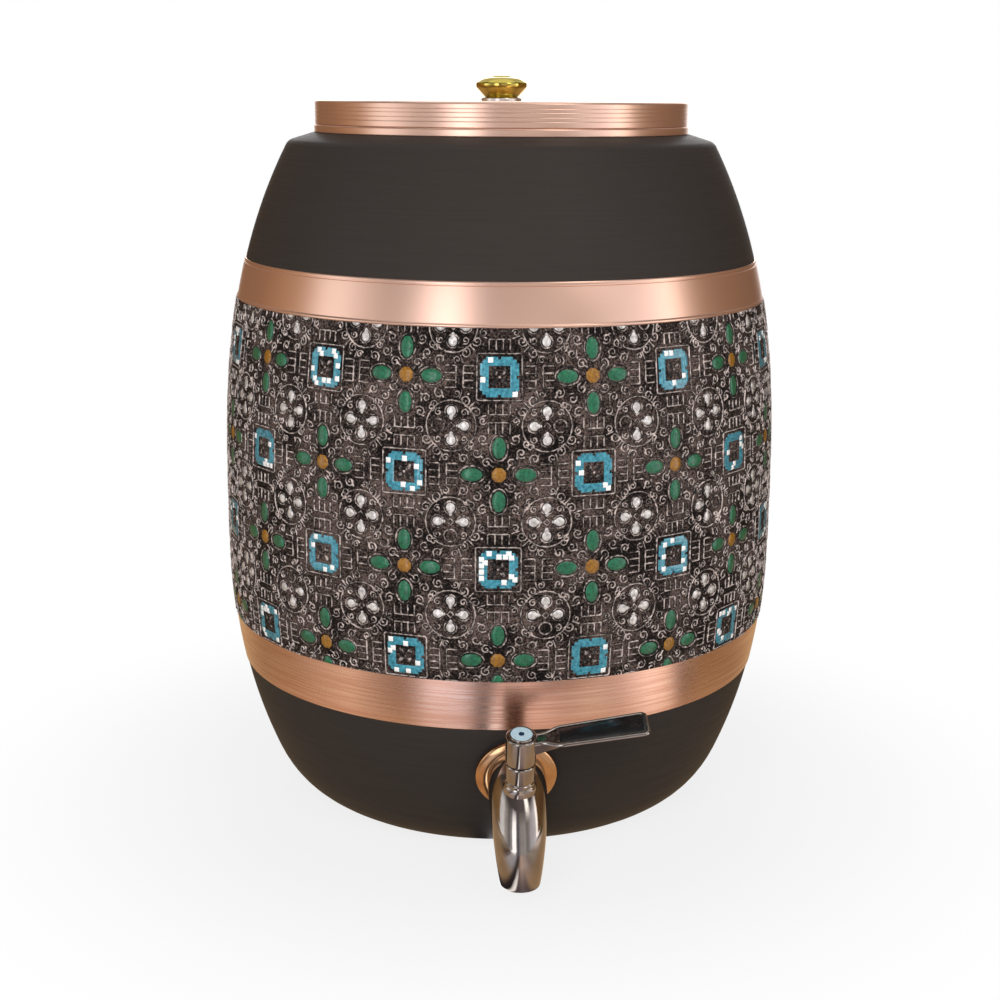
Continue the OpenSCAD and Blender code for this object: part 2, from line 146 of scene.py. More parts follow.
@dataclass(frozen=True)
class Finish:
    """A cast, moulded or fired surface with a mottled tone and a fine grain."""

    name: str
    color: str
    shade: str
    metallic: float = 0.0
    roughness: float = 0.4
    spread: float = 0.05
    grain_mm: float = 2.0
    relief_mm: float = 0.01
    coat: float = 0.0
    coat_roughness: float = 0.06
    specular: float = 0.5
    low: float = 0.3
    high: float = 0.7
    anisotropic: float = 0.0

    def material(self) -> bpy.types.Material:
        """Makes the finish once and hands out the same material after that.

        Returns:
            The finish as a node material.
        """
        made = bpy.data.materials.get(self.name)
        if made:
            return made
        made = bpy.data.materials.new(self.name)
        made.use_nodes = True
        made.diffuse_color = linear(self.color)
        tree = made.node_tree
        shader = tree.nodes["Principled BSDF"]
        for label, value in (("Metallic", self.metallic), ("Specular IOR Level", self.specular),
                             ("Coat Weight", self.coat), ("Coat Roughness", self.coat_roughness),
                             ("Anisotropic", self.anisotropic)):
            shader.inputs[label].default_value = value
        self.pattern(tree, shader)
        return made

    def grain(self, tree: Tree) -> Socket:
        """Adds the grain of the surface.

        Args:
            tree: Node tree of the material.

        Returns:
            A socket that runs from 0 to 1 over the grain.
        """
        place = add_node(tree, "ShaderNodeTexCoord").outputs["Object"]
        noise = add_node(tree, "ShaderNodeTexNoise",
                         {"Vector": place, "Scale": 1 / (self.grain_mm * MM), "Detail": 3.0})
        return noise.outputs["Fac"]

    def pattern(self, tree: Tree, shader: bpy.types.Node) -> None:
        """Drives tone, roughness and bump from the grain.

        Args:
            tree: Node tree of the material.
            shader: Its Principled shader.
        """
        grain = self.grain(tree)
        even = add_node(tree, "ShaderNodeMapRange", {0: grain, 1: self.low, 2: self.high}).outputs[0]
        tone = add_node(tree, "ShaderNodeMix", {0: even, 6: linear(self.shade), 7: linear(self.color)},
                        data_type="RGBA").outputs[2]
        rough = add_node(tree, "ShaderNodeMapRange", {0: even, 3: self.roughness + self.spread,
                                                      4: self.roughness - self.spread}).outputs[0]
        bump = add_node(tree, "ShaderNodeBump", {"Distance": self.relief_mm * MM, "Height": grain}).outputs[0]
        tree.links.new(tone, shader.inputs["Base Color"])
        tree.links.new(rough, shader.inputs["Roughness"])
        tree.links.new(bump, shader.inputs["Normal"])


@dataclass(frozen=True)
class TurnedFinish(Finish):
    """A spun or turned metal whose brush lines run round the upright axis."""

    streak_mm: float = 45.0
    girth_mm: float = 115.0

    def grain(self, tree: Tree) -> Socket:
        """Adds brush lines that are long round the axis and fine along the outline.

        Args:
            tree: Node tree of the material.

        Returns:
            A socket that runs from 0 to 1 across the lines.
        """
        angle, radius, height = polar(tree)
        outline = add_node(tree, "ShaderNodeMath", {0: height, 1: radius}, operation="SUBTRACT").outputs[0]
        run = add_node(tree, "ShaderNodeMath", {0: angle, 1: self.girth_mm / self.streak_mm},
                       operation="MULTIPLY").outputs[0]
        line = add_node(tree, "ShaderNodeMath", {0: outline, 1: 1 / (self.grain_mm * MM)},
                        operation="MULTIPLY").outputs[0]
        flow = add_node(tree, "ShaderNodeCombineXYZ", {"X": run, "Y": line}).outputs[0]
        lines = add_node(tree, "ShaderNodeTexNoise", {"Vector": flow, "Scale": 1.0, "Detail": 3.0})
        return lines.outputs["Fac"]

    def pattern(self, tree: Tree, shader: bpy.types.Node) -> None:
        """Adds the brush direction, so that highlights stretch across the lines.

        Args:
            tree: Node tree of the material.
            shader: Its Principled shader.
        """
        super().pattern(tree, shader)
        shader.inputs["Anisotropic Rotation"].default_value = 0.25
        brush = add_node(tree, "ShaderNodeTangent", direction_type="RADIAL", axis="Z").outputs[0]
        tree.links.new(brush, shader.inputs["Tangent"])


@dataclass(frozen=True)
class RidgeFinish(Finish):
    """Embossed metal, dark with oxide at the foot of the relief and rubbed bright on its ridges; the dark flanks and
    bright crests also carry painted shade and painted highlight of the relief.
    """

    wear_mm: float = 9.0
    wear_weight: float = 2.4

    def grain(self, tree: Tree) -> Socket:
        """Mixes the height of the relief, which sets oxide and painted relief shading, with wear.

        Args:
            tree: Node tree of the material.

        Returns:
            A socket that is high on rubbed ridges, where the brightness is partly a painted highlight.
        """
        ridge = add_node(tree, "ShaderNodeAttribute", attribute_name="ridge").outputs["Fac"]
        speck = super().grain(tree)
        place = add_node(tree, "ShaderNodeTexCoord").outputs["Object"]
        wear = add_node(tree, "ShaderNodeTexNoise", {"Vector": place, "Scale": 1 / (self.wear_mm * MM)})
        rubbed = add_node(tree, "ShaderNodeMath", {0: speck, 1: wear.outputs["Fac"]}, operation="ADD")
        mixed = add_node(tree, "ShaderNodeMath", {0: rubbed.outputs[0], 1: self.wear_weight, 2: ridge},
                         operation="MULTIPLY_ADD")
        return mixed.outputs[0]


@dataclass(frozen=True)
class PunchedFinish(Finish):
    """Sheet ground that a matting punch has covered with small dents."""

    patch_mm: float = 14.0

    def grain(self, tree: Tree) -> Socket:
        """Adds the dents, with patches where the oxide is rubbed thin.

        Args:
            tree: Node tree of the material.

        Returns:
            A socket that is high on the walls between dents.
        """
        place = add_node(tree, "ShaderNodeTexCoord").outputs["Object"]
        dents = add_node(tree, "ShaderNodeTexNoise",
                         {"Vector": place, "Scale": 1 / (self.grain_mm * MM), "Detail": 3.0, "Roughness": 0.75})
        patch = add_node(tree, "ShaderNodeTexNoise", {"Vector": place, "Scale": 1 / (self.patch_mm * MM)})
        thin = add_node(tree, "ShaderNodeMapRange",
                        {0: patch.outputs["Fac"], 1: 0.35, 2: 0.65, 3: -0.1, 4: 0.06})
        return add_node(tree, "ShaderNodeMath", {0: dents.outputs["Fac"], 1: thin.outputs[0]},
                        operation="ADD").outputs[0]


# Dark satin lacquer sprayed on spun copper: nearly even, a broad dull highlight.
LACQUER = TurnedFinish("satin_lacquer_on_copper", "#35302d", "#322d2a", roughness=0.5, spread=0.03,
                       specular=0.08, grain_mm=1.2, relief_mm=0.0015)
# Bare copper brushed round on the lathe: pink in bright light, brown in dark, streaks across the light. Its colour is
# paled towards white: a painted sheen on its highlights.
COPPER = TurnedFinish("brushed_copper", "#fdefed", "#e8cdc5", metallic=1.0, roughness=0.16, spread=0.05,
                      grain_mm=1.5, relief_mm=0.004, anisotropic=0.75)
# The same copper made darker and a deeper orange for the lower band: painted shade for the dimmer light it mirrors
# low down.
SHADED_COPPER = TurnedFinish("brushed_copper_painted_shade", "#f7d3c2", "#e0ad97", metallic=1.0, roughness=0.27,
                           spread=0.06, grain_mm=0.9, relief_mm=0.004, anisotropic=0.75)
# Bare spun copper inside the vessel: dull, with faint turning rings.
INSIDE = TurnedFinish("spun_copper_inside", "#c98d70", "#a96c50", metallic=1.0, roughness=0.38, spread=0.08,
                      grain_mm=1.6, relief_mm=0.01, anisotropic=0.4)
# Oxidised copper ground, matted with a punch: dark dents between pink-grey walls.
GROUND = PunchedFinish("oxidised_copper_punched", "#7b6861", "#060403", metallic=0.15, roughness=0.6,
                       specular=0.15, grain_mm=0.75, relief_mm=0.2, low=0.43, high=0.72)
# Embossed copper ridges rubbed bright over black oxide, with painted shade on the flanks and painted highlight on the
# crests.
RIDGE = RidgeFinish("oxidised_copper_rubbed_and_painted_relief_shade", "#dccac2", "#090605", metallic=0.15, roughness=0.55,
                    grain_mm=1.0, relief_mm=0.0, wear_mm=2.4, low=2.7, high=3.8)
# Vitreous enamel: glass fused in cells, slightly uneven tone under a hard gloss.
GREEN = Finish("vitreous_enamel_green", "#1b6d4a", "#083f27", roughness=0.32, grain_mm=0.9,
               relief_mm=0.05, coat=0.2)
TURQUOISE = Finish("vitreous_enamel_turquoise", "#4599aa", "#195f70", roughness=0.22, grain_mm=1.2,
                   relief_mm=0.06, coat=0.5)
# White squares on the turquoise frames: painted glints, standing for light caught by the glassy enamel.
GLINT_WHITE = Finish("white_painted_glints", "#f7f4f1", "#ebe6e2", roughness=0.2, grain_mm=1.2,
               relief_mm=0.02, coat=0.6)
OCHRE = Finish("vitreous_enamel_ochre", "#a06f1a", "#6d430a", roughness=0.32, grain_mm=0.9,
               relief_mm=0.04, coat=0.2)
# Tinned copper petals, burnished: a soft silver that turns dark or white with the light.
TINNED = Finish("tinned_copper_burnished", "#ece7e3", "#a39b96", metallic=0.45, roughness=0.35, grain_mm=1.3,
                relief_mm=0.1)
# Chrome plate on a polished casting: mirror with a slow waviness. Its base is darkened and warmed: painted shade and
# a painted reflection of warm surroundings.
CHROME = Finish("chrome_plated_casting", "#a49c95", "#958c84", metallic=1.0, roughness=0.07, spread=0.03,
                grain_mm=7.0, relief_mm=0.06)
# Chrome of the flange plate tinted to copper, a painted reflection of the copper it mirrors: a warm mirror.
FLANGE_PAINTED_REFLECTION = Finish("chrome_plate_painted_copper_reflection", "#cfa67e", "#b98d64", metallic=1.0, roughness=0.14, spread=0.04,
                grain_mm=6.0, relief_mm=0.03)
# Polished brass turned on a lathe: yellow mirror with faint rings.
BRASS = TurnedFinish("polished_brass", "#e2d06a", "#b9a245", metallic=1.0, roughness=0.1, spread=0.04,
                     grain_mm=0.5, relief_mm=0.003, streak_mm=12.0, girth_mm=10.0)
# Nickel plate on the turned rosette: a pale satin.
NICKEL = TurnedFinish("nickel_plate_turned", "#f4eee8", "#e6ddd5", metallic=1.0, roughness=0.34, spread=0.04,
                      grain_mm=0.5, relief_mm=0.002, streak_mm=12.0, girth_mm=10.0)
# Moulded black rubber: matt, with a fine grain.
RUBBER = Finish("moulded_rubber", "#1d1d1f", "#151517", roughness=0.7, grain_mm=0.8, relief_mm=0.03)
# Gloss black plastic inlay.
INLAY = Finish("black_plastic_inlay", "#121214", "#0b0b0c", roughness=0.22, grain_mm=1.5,
               relief_mm=0.01, coat=0.3)
# Pale blue moulded plastic disc and its dark dot.
PALE_BLUE = Finish("pale_blue_plastic", "#c2d8e0", "#a9c3d2", roughness=0.3, grain_mm=1.0, relief_mm=0.01)
DARK_BLUE = Finish("dark_blue_plastic", "#1b3350", "#142842", roughness=0.3, grain_mm=0.8, relief_mm=0.01)


def link_mesh(name: str, mesh: bpy.types.Mesh, finishes: Sequence[Finish]) -> bpy.types.Object:
    """Puts a mesh into the scene as a piece.

    Args:
        name: Name of the piece.
        mesh: Its mesh in metres, in the part's frame.
        finishes: Finishes in the order of the mesh's material indices.

    Returns:
        The piece.
    """
    for finish in finishes:
        mesh.materials.append(finish.material())
    piece = bpy.data.objects.new(name, mesh)
    bpy.context.scene.collection.objects.link(piece)
    return piece


def link_shape(name: str, shape: bmesh.types.BMesh, place: Matrix,
               finishes: Sequence[Finish]) -> bpy.types.Object:
    """Turns a closed shape in millimetres to a smooth piece in metres.

    Args:
        name: Name of the piece.
        shape: Shape in millimetres, freed afterwards.
        place: Where the shape goes, in millimetres.
        finishes: Finishes in the order of the shape's material indices.

    Returns:
        The piece.
    """
    bmesh.ops.remove_doubles(shape, verts=shape.verts, dist=1e-5)
    bmesh.ops.recalc_face_normals(shape, faces=shape.faces)
    shape.transform(Matrix.Scale(MM, 4) @ place)
    mesh = bpy.data.meshes.new(name)
    shape.to_mesh(mesh)
    shape.free()
    mesh.shade_smooth()
    mesh.set_sharp_from_angle(angle=math.radians(CREASE_DEG))
    return link_mesh(name, mesh, finishes)


def bend(start: Vector, corner: Vector, end: Vector, steps: int) -> list[Point]:
    """Draws a quadratic curve from one point to another.

    Args:
        start: First point.
        corner: Point that both ends aim at.
        end: Last point.
        steps: Number of stretches.

    Returns:
        Points of the curve.
    """
    spots = [start * (1 - t) ** 2 + corner * 2 * t * (1 - t) + end * t ** 2
             for t in (k / steps for k in range(steps + 1))]
    return [(spot.x, spot.y) for spot in spots]


def soften(corners: Sequence[tuple[float, float, float]], steps: int = 5) -> list[Point]:
    """Rounds the corners of an outline.

    Args:
        corners: Radius, height and rounding of each corner.
        steps: Points in each rounded corner.

    Returns:
        The rounded outline.
    """
    outline: list[Point] = []
    count = len(corners)
    for i, (r, z, rounding) in enumerate(corners):
        here = Vector((r, z))
        before = Vector(corners[i - 1][:2])
        after = Vector(corners[(i + 1) % count][:2])
        if rounding <= 0 or r <= 0:
            outline.append((r, z))
            continue
        start, end = (here + (side - here).normalized() * min(rounding, (side - here).length * 0.49)
                      for side in (before, after))
        outline += bend(start, here, end, steps)
    return outline


def circle(count: int) -> list[Point]:
    """Sine and cosine of evenly spaced turns."""
    return [(math.sin(2 * math.pi * k / count), math.cos(2 * math.pi * k / count)) for k in range(count)]


def skin(shape: bmesh.types.BMesh, rings: Sequence[Ring]) -> None:
    """Joins rings of equal count one after another.

    Args:
        shape: Mesh that takes the faces.
        rings: Corners of each ring, in order.
    """
    for low, high in zip(rings, rings[1:]):
        for k in range(len(low)):
            n = (k + 1) % len(low)
            shape.faces.new((low[k], low[n], high[n], high[k]))


def lathe(name: str, outline: Sequence[Point], finishes: Sequence[Finish], zones: Sequence[int] = (),
          place: Matrix = Matrix(), turns: int = 192) -> bpy.types.Object:
    """Turns a closed outline round its upright axis.

    Args:
        name: Name of the piece.
        outline: Radius and height of each point, the last joined to the first.
        finishes: Finishes of the piece.
        zones: Material index of the face band after each point, 0 where none is given.
        place: Where the turned shape goes, in millimetres.
        turns: Faces round the axis.

    Returns:
        The piece.
    """
    shape = bmesh.new()
    rings: list[Ring] = []
    for r, z in outline:
        spots = [(r * s, -r * c, z) for s, c in circle(turns)] if r >= 1e-6 else [(0, 0, z)]
        rings.append([shape.verts.new(spot) for spot in spots])
    for i, ring in enumerate(rings):
        after = rings[(i + 1) % len(rings)]
        zone = zones[i] if i < len(zones) else 0
        if len(ring) == 1 and len(after) == 1:
            continue
        for k in range(turns):
            n = (k + 1) % turns
            corners = [ring[k % len(ring)], ring[n % len(ring)], after[n % len(after)], after[k % len(after)]]
            face = shape.faces.new(list(dict.fromkeys(corners)))
            face.material_index = zone
    return link_shape(name, shape, place, finishes)


def loft(shape: bmesh.types.BMesh, rings: Sequence[Sequence[Vector]]) -> None:
    """Skins rings of equal count one after another and closes both ends.

    Args:
        shape: Mesh that takes the faces.
        rings: Points of each ring, in order.
    """
    made = [[shape.verts.new(spot) for spot in ring] for ring in rings]
    skin(shape, made)
    shape.faces.new(made[0])
    shape.faces.new(made[-1])


def keep(piece: bpy.types.Object, body: Body, slot: Slot, *nodes: str) -> None:
    """Puts a piece on its body and hides the solids it stands for.

    Args:
        piece: The piece.
        body: Body that it moves with.
        slot: Material slot of the record; not used.
        *nodes: Solids that it replaces.
    """
    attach(piece, body.value)
    if nodes:
        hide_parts(*nodes)
    LOG.info("%s on %s, %d faces", piece.name, body.value, len(piece.data.polygons))


def dress_solid(node: str, finish: Finish) -> None:
    """Gives a solid that stays a better material.

    Args:
        node: Name of the solid.
        finish: Its finish.
    """
    solid = frame["nodes"][node]
    solid.data.materials.clear()
    solid.data.materials.append(finish.material())
    LOG.info("%s keeps its solid", node)


@dataclass(frozen=True)
class Barrel:
    """Outline of the spun vessel, by the same rule as its solids."""

    belly_r: float = 114.2
    belly_z: float = 119.2
    shoulder_r: float = 87.7
    shoulder_z: float = 274.9
    shoulder_round: float = 4.8
    shoulder_rise: float = 17.0
    upper_power: float = 3.05
    foot_drop: float = 29.3
    lower_power: float = 2.4
    corner_z: float = 24.0
    wall: float = 1.0
    seam_z: float = 148.0
    ledge_w: float = 14.3
    collar_seat_r: float = 76.6

    @property
    def mouth_r(self) -> float:
        """Radius of the mouth."""
        return self.shoulder_r - self.ledge_w

    @property
    def upper_span(self) -> float:
        """Height from the belly to the shoulder."""
        return self.shoulder_z - self.belly_z

    def radius(self, z: float) -> float:
        """Outer radius of the wall.

        Args:
            z: Height above the table.

        Returns:
            The radius at that height.
        """
        if z > self.belly_z:
            part = (z - self.belly_z) / self.upper_span
            return self.belly_r - (self.belly_r - self.shoulder_r) * part ** self.upper_power
        return self.belly_r - self.foot_drop * ((self.belly_z - z) / self.belly_z) ** self.lower_power

    def run(self, low: float, high: float, out: float = 0.0, steps: int = 24) -> list[Point]:
        """Points of the wall from one height to another.

        Args:
            low: First height.
            high: Last height.
            out: Distance outside the wall.
            steps: Number of stretches.

        Returns:
            Radius and height of each point.
        """
        heights = [low + (high - low) * k / steps for k in range(steps + 1)]
        return [(self.radius(z) + out, z) for z in heights]

    def foot(self, steps: int = 14) -> list[Point]:
        """Rounded corner from the flat base to the wall.

        Args:
            steps: Number of stretches.

        Returns:
            Radius and height of each point, from the base up.
        """
        part = (self.belly_z - self.corner_z) / self.belly_z
        slope = self.foot_drop * self.lower_power / self.belly_z * part ** (self.lower_power - 1)
        high = Vector((self.radius(self.corner_z), self.corner_z))
        meet = Vector((high.x - slope * self.corner_z, 0.0))
        base = Vector((meet.x - (high - meet).length, 0.0))
        return bend(base, meet, high, steps)

    def shoulder(self, steps: int = 10) -> list[Point]:
        """Rounded shoulder and the sloping ledge to the mouth.

        Args:
            steps: Number of stretches in the round.

        Returns:
            Radius and height of each point, from the wall to the mouth.
        """
        drop = self.belly_r - self.shoulder_r
        lean = math.atan(drop * self.upper_power / self.upper_span)
        end = math.radians(90.0 - self.shoulder_rise)
        centre = Vector((self.shoulder_r - self.shoulder_round * math.cos(lean),
                         self.shoulder_z - self.shoulder_round * math.sin(lean)))
        turns = [lean + (end - lean) * k / steps for k in range(1, steps + 1)]
        arc = [(centre.x + self.shoulder_round * math.cos(a), centre.y + self.shoulder_round * math.sin(a))
               for a in turns]
        rise = (arc[-1][0] - self.collar_seat_r) * math.tan(math.radians(self.shoulder_rise))
        top = arc[-1][1] + rise
        return [*arc, (self.collar_seat_r, top), (self.mouth_r, top)]


@dataclass(frozen=True)
class Vessel:
    """Shells, bands and neck of the vessel."""

    barrel: Barrel = Barrel()
    lower_band_z: float = 62.4
    lower_band_h: float = 20.5
    upper_band_top: float = 230.3
    upper_band_h: float = 16.0
    band_t: float = 0.4
    bead: float = 0.35
    neck_t: float = 1.0
    neck_h: float = 4.8
    bead_h: float = 3.2
    bead_r: float = 76.1

    @property
    def rim_z(self) -> float:
        """Height of the mouth's edge."""
        return self.barrel.shoulder()[-1][1]

    def build(self) -> None:
        """Makes the pieces and ties them to the vessel."""
        self.build_shells()
        self.build_bands()
        self.build_neck()

    def build_shells(self) -> None:
        """Turns both halves of the barrel, lacquered outside and bare inside."""
        barrel = self.barrel
        outside = barrel.run(barrel.seam_z, barrel.shoulder_z, steps=40) + barrel.shoulder()
        inside = [(barrel.mouth_r, self.rim_z - barrel.wall),
                  (barrel.shoulder_r - 5.5, barrel.shoulder_z + 2.2)]
        inside += barrel.run(barrel.shoulder_z - 2.5, barrel.seam_z, -barrel.wall, 30)
        zones = [0] * (len(outside) - 1) + [1] * len(inside)
        upper = lathe("spun_shoulder_shell", outside + inside, (LACQUER, INSIDE), zones, turns=256)
        keep(upper, Body.VESSEL, Slot.LACQUER, "upper_shell")
        outside = [(0.0, 0.0), *barrel.foot(), *barrel.run(barrel.corner_z, barrel.seam_z - 0.05, steps=40)[1:]]
        inside = [(max(r - barrel.wall, 0.0), z) for r, z in reversed(outside) if z > barrel.corner_z]
        inside += [(r - 0.7, z + 0.9) for r, z in reversed(barrel.foot())]
        inside.append((0.0, barrel.wall))
        zones = [0] * (len(outside) - 1) + [1] * len(inside)
        lower = lathe("spun_bowl_shell", outside + inside, (LACQUER, INSIDE), zones, turns=256)
        keep(lower, Body.VESSEL, Slot.LACQUER, "lower_shell")

    def build_bands(self) -> None:
        """Turns the two bare bands, the upper with a beaded edge."""
        barrel = self.barrel
        low = self.upper_band_top - self.upper_band_h
        top = self.upper_band_top
        face = barrel.run(low + 1.5, top - 1.7, self.band_t, 16)
        edge = barrel.run(low, low + 1.4, self.band_t, 6)
        lower_bead = [(r + self.bead * math.sin(math.pi * k / 6), z) for k, (r, z) in enumerate(edge)]
        groove = [(barrel.radius(top - 1.5) + 0.12, top - 1.5), (barrel.radius(top - 1.0) + 0.12, top - 1.0)]
        edge = barrel.run(top - 0.9, top, self.band_t, 4)
        upper_bead = [(r + 0.1 * math.sin(math.pi * k / 4), z) for k, (r, z) in enumerate(edge)]
        back = barrel.run(top, low, 0.02, 16)
        band = lathe("brushed_upper_band", lower_bead + face + groove + upper_bead + back, (COPPER,), turns=256)
        keep(band, Body.VESSEL, Slot.BRUSHED, "upper_band")
        low = self.lower_band_z
        top = low + self.lower_band_h
        face = barrel.run(low + 0.25, top - 0.25, self.band_t, 20)
        rim = [(barrel.radius(low) + 0.15, low)]
        lip = [(barrel.radius(top) + 0.15, top)]
        # The lower band takes the darker copy of the copper: painted shade.
        band = lathe("brushed_lower_band", rim + face + lip + barrel.run(top, low, 0.02, 20), (SHADED_COPPER,),
                     turns=256)
        keep(band, Body.VESSEL, Slot.BRUSHED, "lower_band")

    def build_neck(self) -> None:
        """Turns the neck ring with its seat bead."""
        inner = self.barrel.mouth_r
        outer = inner + self.neck_t
        low = self.rim_z
        seat = low + self.bead_h
        top = seat + self.neck_h
        outline = soften([(inner, low, 0), (self.bead_r, low, 0.5), (self.bead_r, seat, 0.9), (outer, seat, 0.1),
                          (outer, top, 0.4), (inner, top, 0.4)])
        keep(lathe("turned_neck_ring", outline, (COPPER,)), Body.VESSEL, Slot.BRUSHED, "neck_collar")


class ReliefTree:
    """A node tree that lays motifs on the belt's lattice and bends them round the barrel."""

    def __init__(self, name: str, sizes: dict[str, float]) -> None:
        """Opens an empty tree.

        Args:
            name: Name of the tree.
            sizes: Named inputs of the tree with their values, in metres, radians or counts.
        """
        self.tree = bpy.data.node_groups.new(name, "GeometryNodeTree")
        self.tree.interface.new_socket("Relief", in_out="OUTPUT", socket_type="NodeSocketGeometry")
        self.sizes = sizes
        self.keys = {label: self.tree.interface.new_socket(label, in_out="INPUT",
                                                           socket_type="NodeSocketFloat").identifier
                     for label in sizes}
        self.inputs = add_node(self.tree, "NodeGroupInput").outputs
        self.laid: list[Socket] = []

    def lattice(self, host: Host) -> tuple[Socket, Socket | bool]:
        """Lays points where a kind of motif sits.

        Args:
            host: Kind of motif.

        Returns:
            The points and the choice among them.
        """
        grid = "Rosette" if host is Host.ROSETTE else "Cell"
        rows = self.inputs[f"{grid} rows"]
        mesh = add_node(self.tree, "GeometryNodeMeshGrid",
                        {"Size X": self.inputs[f"{grid} width"], "Size Y": self.inputs[f"{grid} height"],
                         "Vertices X": self.inputs[f"{grid} columns"], "Vertices Y": rows}).outputs["Mesh"]
        points = add_node(self.tree, "GeometryNodeMeshToPoints", {"Mesh": mesh}).outputs["Points"]
        if host is Host.ROSETTE:
            return points, True
        number = add_node(self.tree, "GeometryNodeInputIndex").outputs[0]
        column = add_node(self.tree, "FunctionNodeIntegerMath", {0: number, 1: rows}, operation="DIVIDE_FLOOR")
        row = add_node(self.tree, "FunctionNodeIntegerMath", {0: number, 1: rows}, operation="MODULO")
        count = add_node(self.tree, "FunctionNodeIntegerMath", {0: column.outputs[0], 1: row.outputs[0]},
                         operation="ADD")
        shifted = add_node(self.tree, "FunctionNodeIntegerMath",
                           {0: count.outputs[0], 1: 1 if host is Host.FLOWER else 0}, operation="ADD")
        odd = add_node(self.tree, "FunctionNodeIntegerMath", {0: shifted.outputs[0], 1: 2}, operation="MODULO")
        return points, odd.outputs[0]

    def wire(self, curve: Socket, width_mm: float = 1.2, height_mm: float = 0.5) -> Socket:
        """Sweeps a closed gable along a flat curve.

        Args:
            curve: The curve.
            width_mm: Width of the wire at its foot.
            height_mm: Height of its ridge.

        Returns:
            The wire's mesh.
        """
        gable = add_node(self.tree, "GeometryNodeCurvePrimitiveCircle", {"Resolution": 3, "Radius": 1.0},
                         mode="RADIUS").outputs["Curve"]
        gable = add_node(self.tree, "GeometryNodeTransform",
                         {"Geometry": gable, "Rotation": (0.0, 0.0, -math.pi / 2)}).outputs[0]
        scale = (width_mm * MM / math.sqrt(3.0), height_mm * MM, 1.0)
        gable = add_node(self.tree, "GeometryNodeTransform", {"Geometry": gable, "Scale": scale}).outputs[0]
        level = add_node(self.tree, "GeometryNodeSetCurveNormal", {"Curve": curve}, mode="Z_UP").outputs[0]
        return add_node(self.tree, "GeometryNodeCurveToMesh",
                        {"Curve": level, "Profile Curve": gable, "Fill Caps": True}).outputs["Mesh"]

    def curl(self, end_mm: float, turns: float, back: bool) -> Socket:
        """Makes a small scroll.

        Args:
            end_mm: Distance of its outer end from its middle.
            turns: Number of turns.
            back: Whether it winds the other way.

        Returns:
            The scroll's mesh.
        """
        curve = add_node(self.tree, "GeometryNodeCurveSpiral",
                         {"Resolution": 8, "Rotations": turns, "Start Radius": 0.35 * MM,
                          "End Radius": end_mm * MM, "Height": 0.0, "Reverse": back}).outputs[0]
        return self.wire(curve)

    def bar(self, length_mm: float, width_mm: float = 1.2, height_mm: float = 0.5) -> Socket:
        """Makes a straight bar that runs to the right of its place.

        Args:
            length_mm: Its length.
            width_mm: Its width at the foot.
            height_mm: Height of its ridge.

        Returns:
            The bar's mesh.
        """
        line = add_node(self.tree, "GeometryNodeCurvePrimitiveLine", {"End": (length_mm * MM, 0.0, 0.0)}).outputs[0]
        line = add_node(self.tree, "GeometryNodeResampleCurve",
                        {"Curve": line, "Count": 2 + int(length_mm // 4)}, mode="COUNT").outputs[0]
        return self.wire(line, width_mm, height_mm)

    def oval(self, long_mm: float, wide_mm: float, count: int, height_mm: float = 0.5) -> Socket:
        """Makes an oval outline.

        Args:
            long_mm: Half its length.
            wide_mm: Half its width.
            count: Points round it.
            height_mm: Height of its ridge.

        Returns:
            The outline's mesh.
        """
        ring = add_node(self.tree, "GeometryNodeCurvePrimitiveCircle", {"Resolution": count, "Radius": MM},
                        mode="RADIUS").outputs[0]
        ring = add_node(self.tree, "GeometryNodeTransform",
                        {"Geometry": ring, "Scale": (long_mm, wide_mm, 1.0)}).outputs[0]
        return self.wire(ring, height_mm=height_mm)

    def dome(self, long_mm: float, wide_mm: float, high_mm: float, sides: int = 12,
             rings: int = 6) -> Socket:
        """Makes a flat dome.

        Args:
            long_mm: Half its length.
            wide_mm: Half its width.
            high_mm: Its height.
            sides: Faces round it.
            rings: Faces from its top to its underside.

        Returns:
            The dome's mesh, half of it under the sheet.
        """
        ball = add_node(self.tree, "GeometryNodeMeshUVSphere",
                        {"Segments": sides, "Rings": rings, "Radius": MM}).outputs["Mesh"]
        return add_node(self.tree, "GeometryNodeTransform",
                        {"Geometry": ball, "Scale": (long_mm, wide_mm, high_mm)}).outputs[0]

    def put(self, shape: Socket, x_mm: float, y_mm: float, turn_deg: float = 0.0) -> Socket:
        """Places a shape within its motif.

        Args:
            shape: The shape.
            x_mm: Distance to the right of the motif's middle.
            y_mm: Distance above it.
            turn_deg: Turn of the shape.

        Returns:
            The placed shape.
        """
        return add_node(self.tree, "GeometryNodeTransform",
                        {"Geometry": shape, "Translation": (x_mm * MM, y_mm * MM, 0.0),
                         "Rotation": (0.0, 0.0, math.radians(turn_deg))}).outputs[0]

    def four(self, shape: Socket, x_mm: float, y_mm: float, turn_deg: float = 0.0) -> list[Socket]:
        """Places a shape four times round the middle of its motif.

        Args:
            shape: The shape.
            x_mm: First place, to the right.
            y_mm: First place, upwards.
            turn_deg: Turn of the first one.

        Returns:
            The four placed shapes.
        """
        spots = [(x_mm, y_mm), (-y_mm, x_mm), (-x_mm, -y_mm), (y_mm, -x_mm)]
        return [self.put(shape, x, y, turn_deg + 90.0 * k) for k, (x, y) in enumerate(spots)]

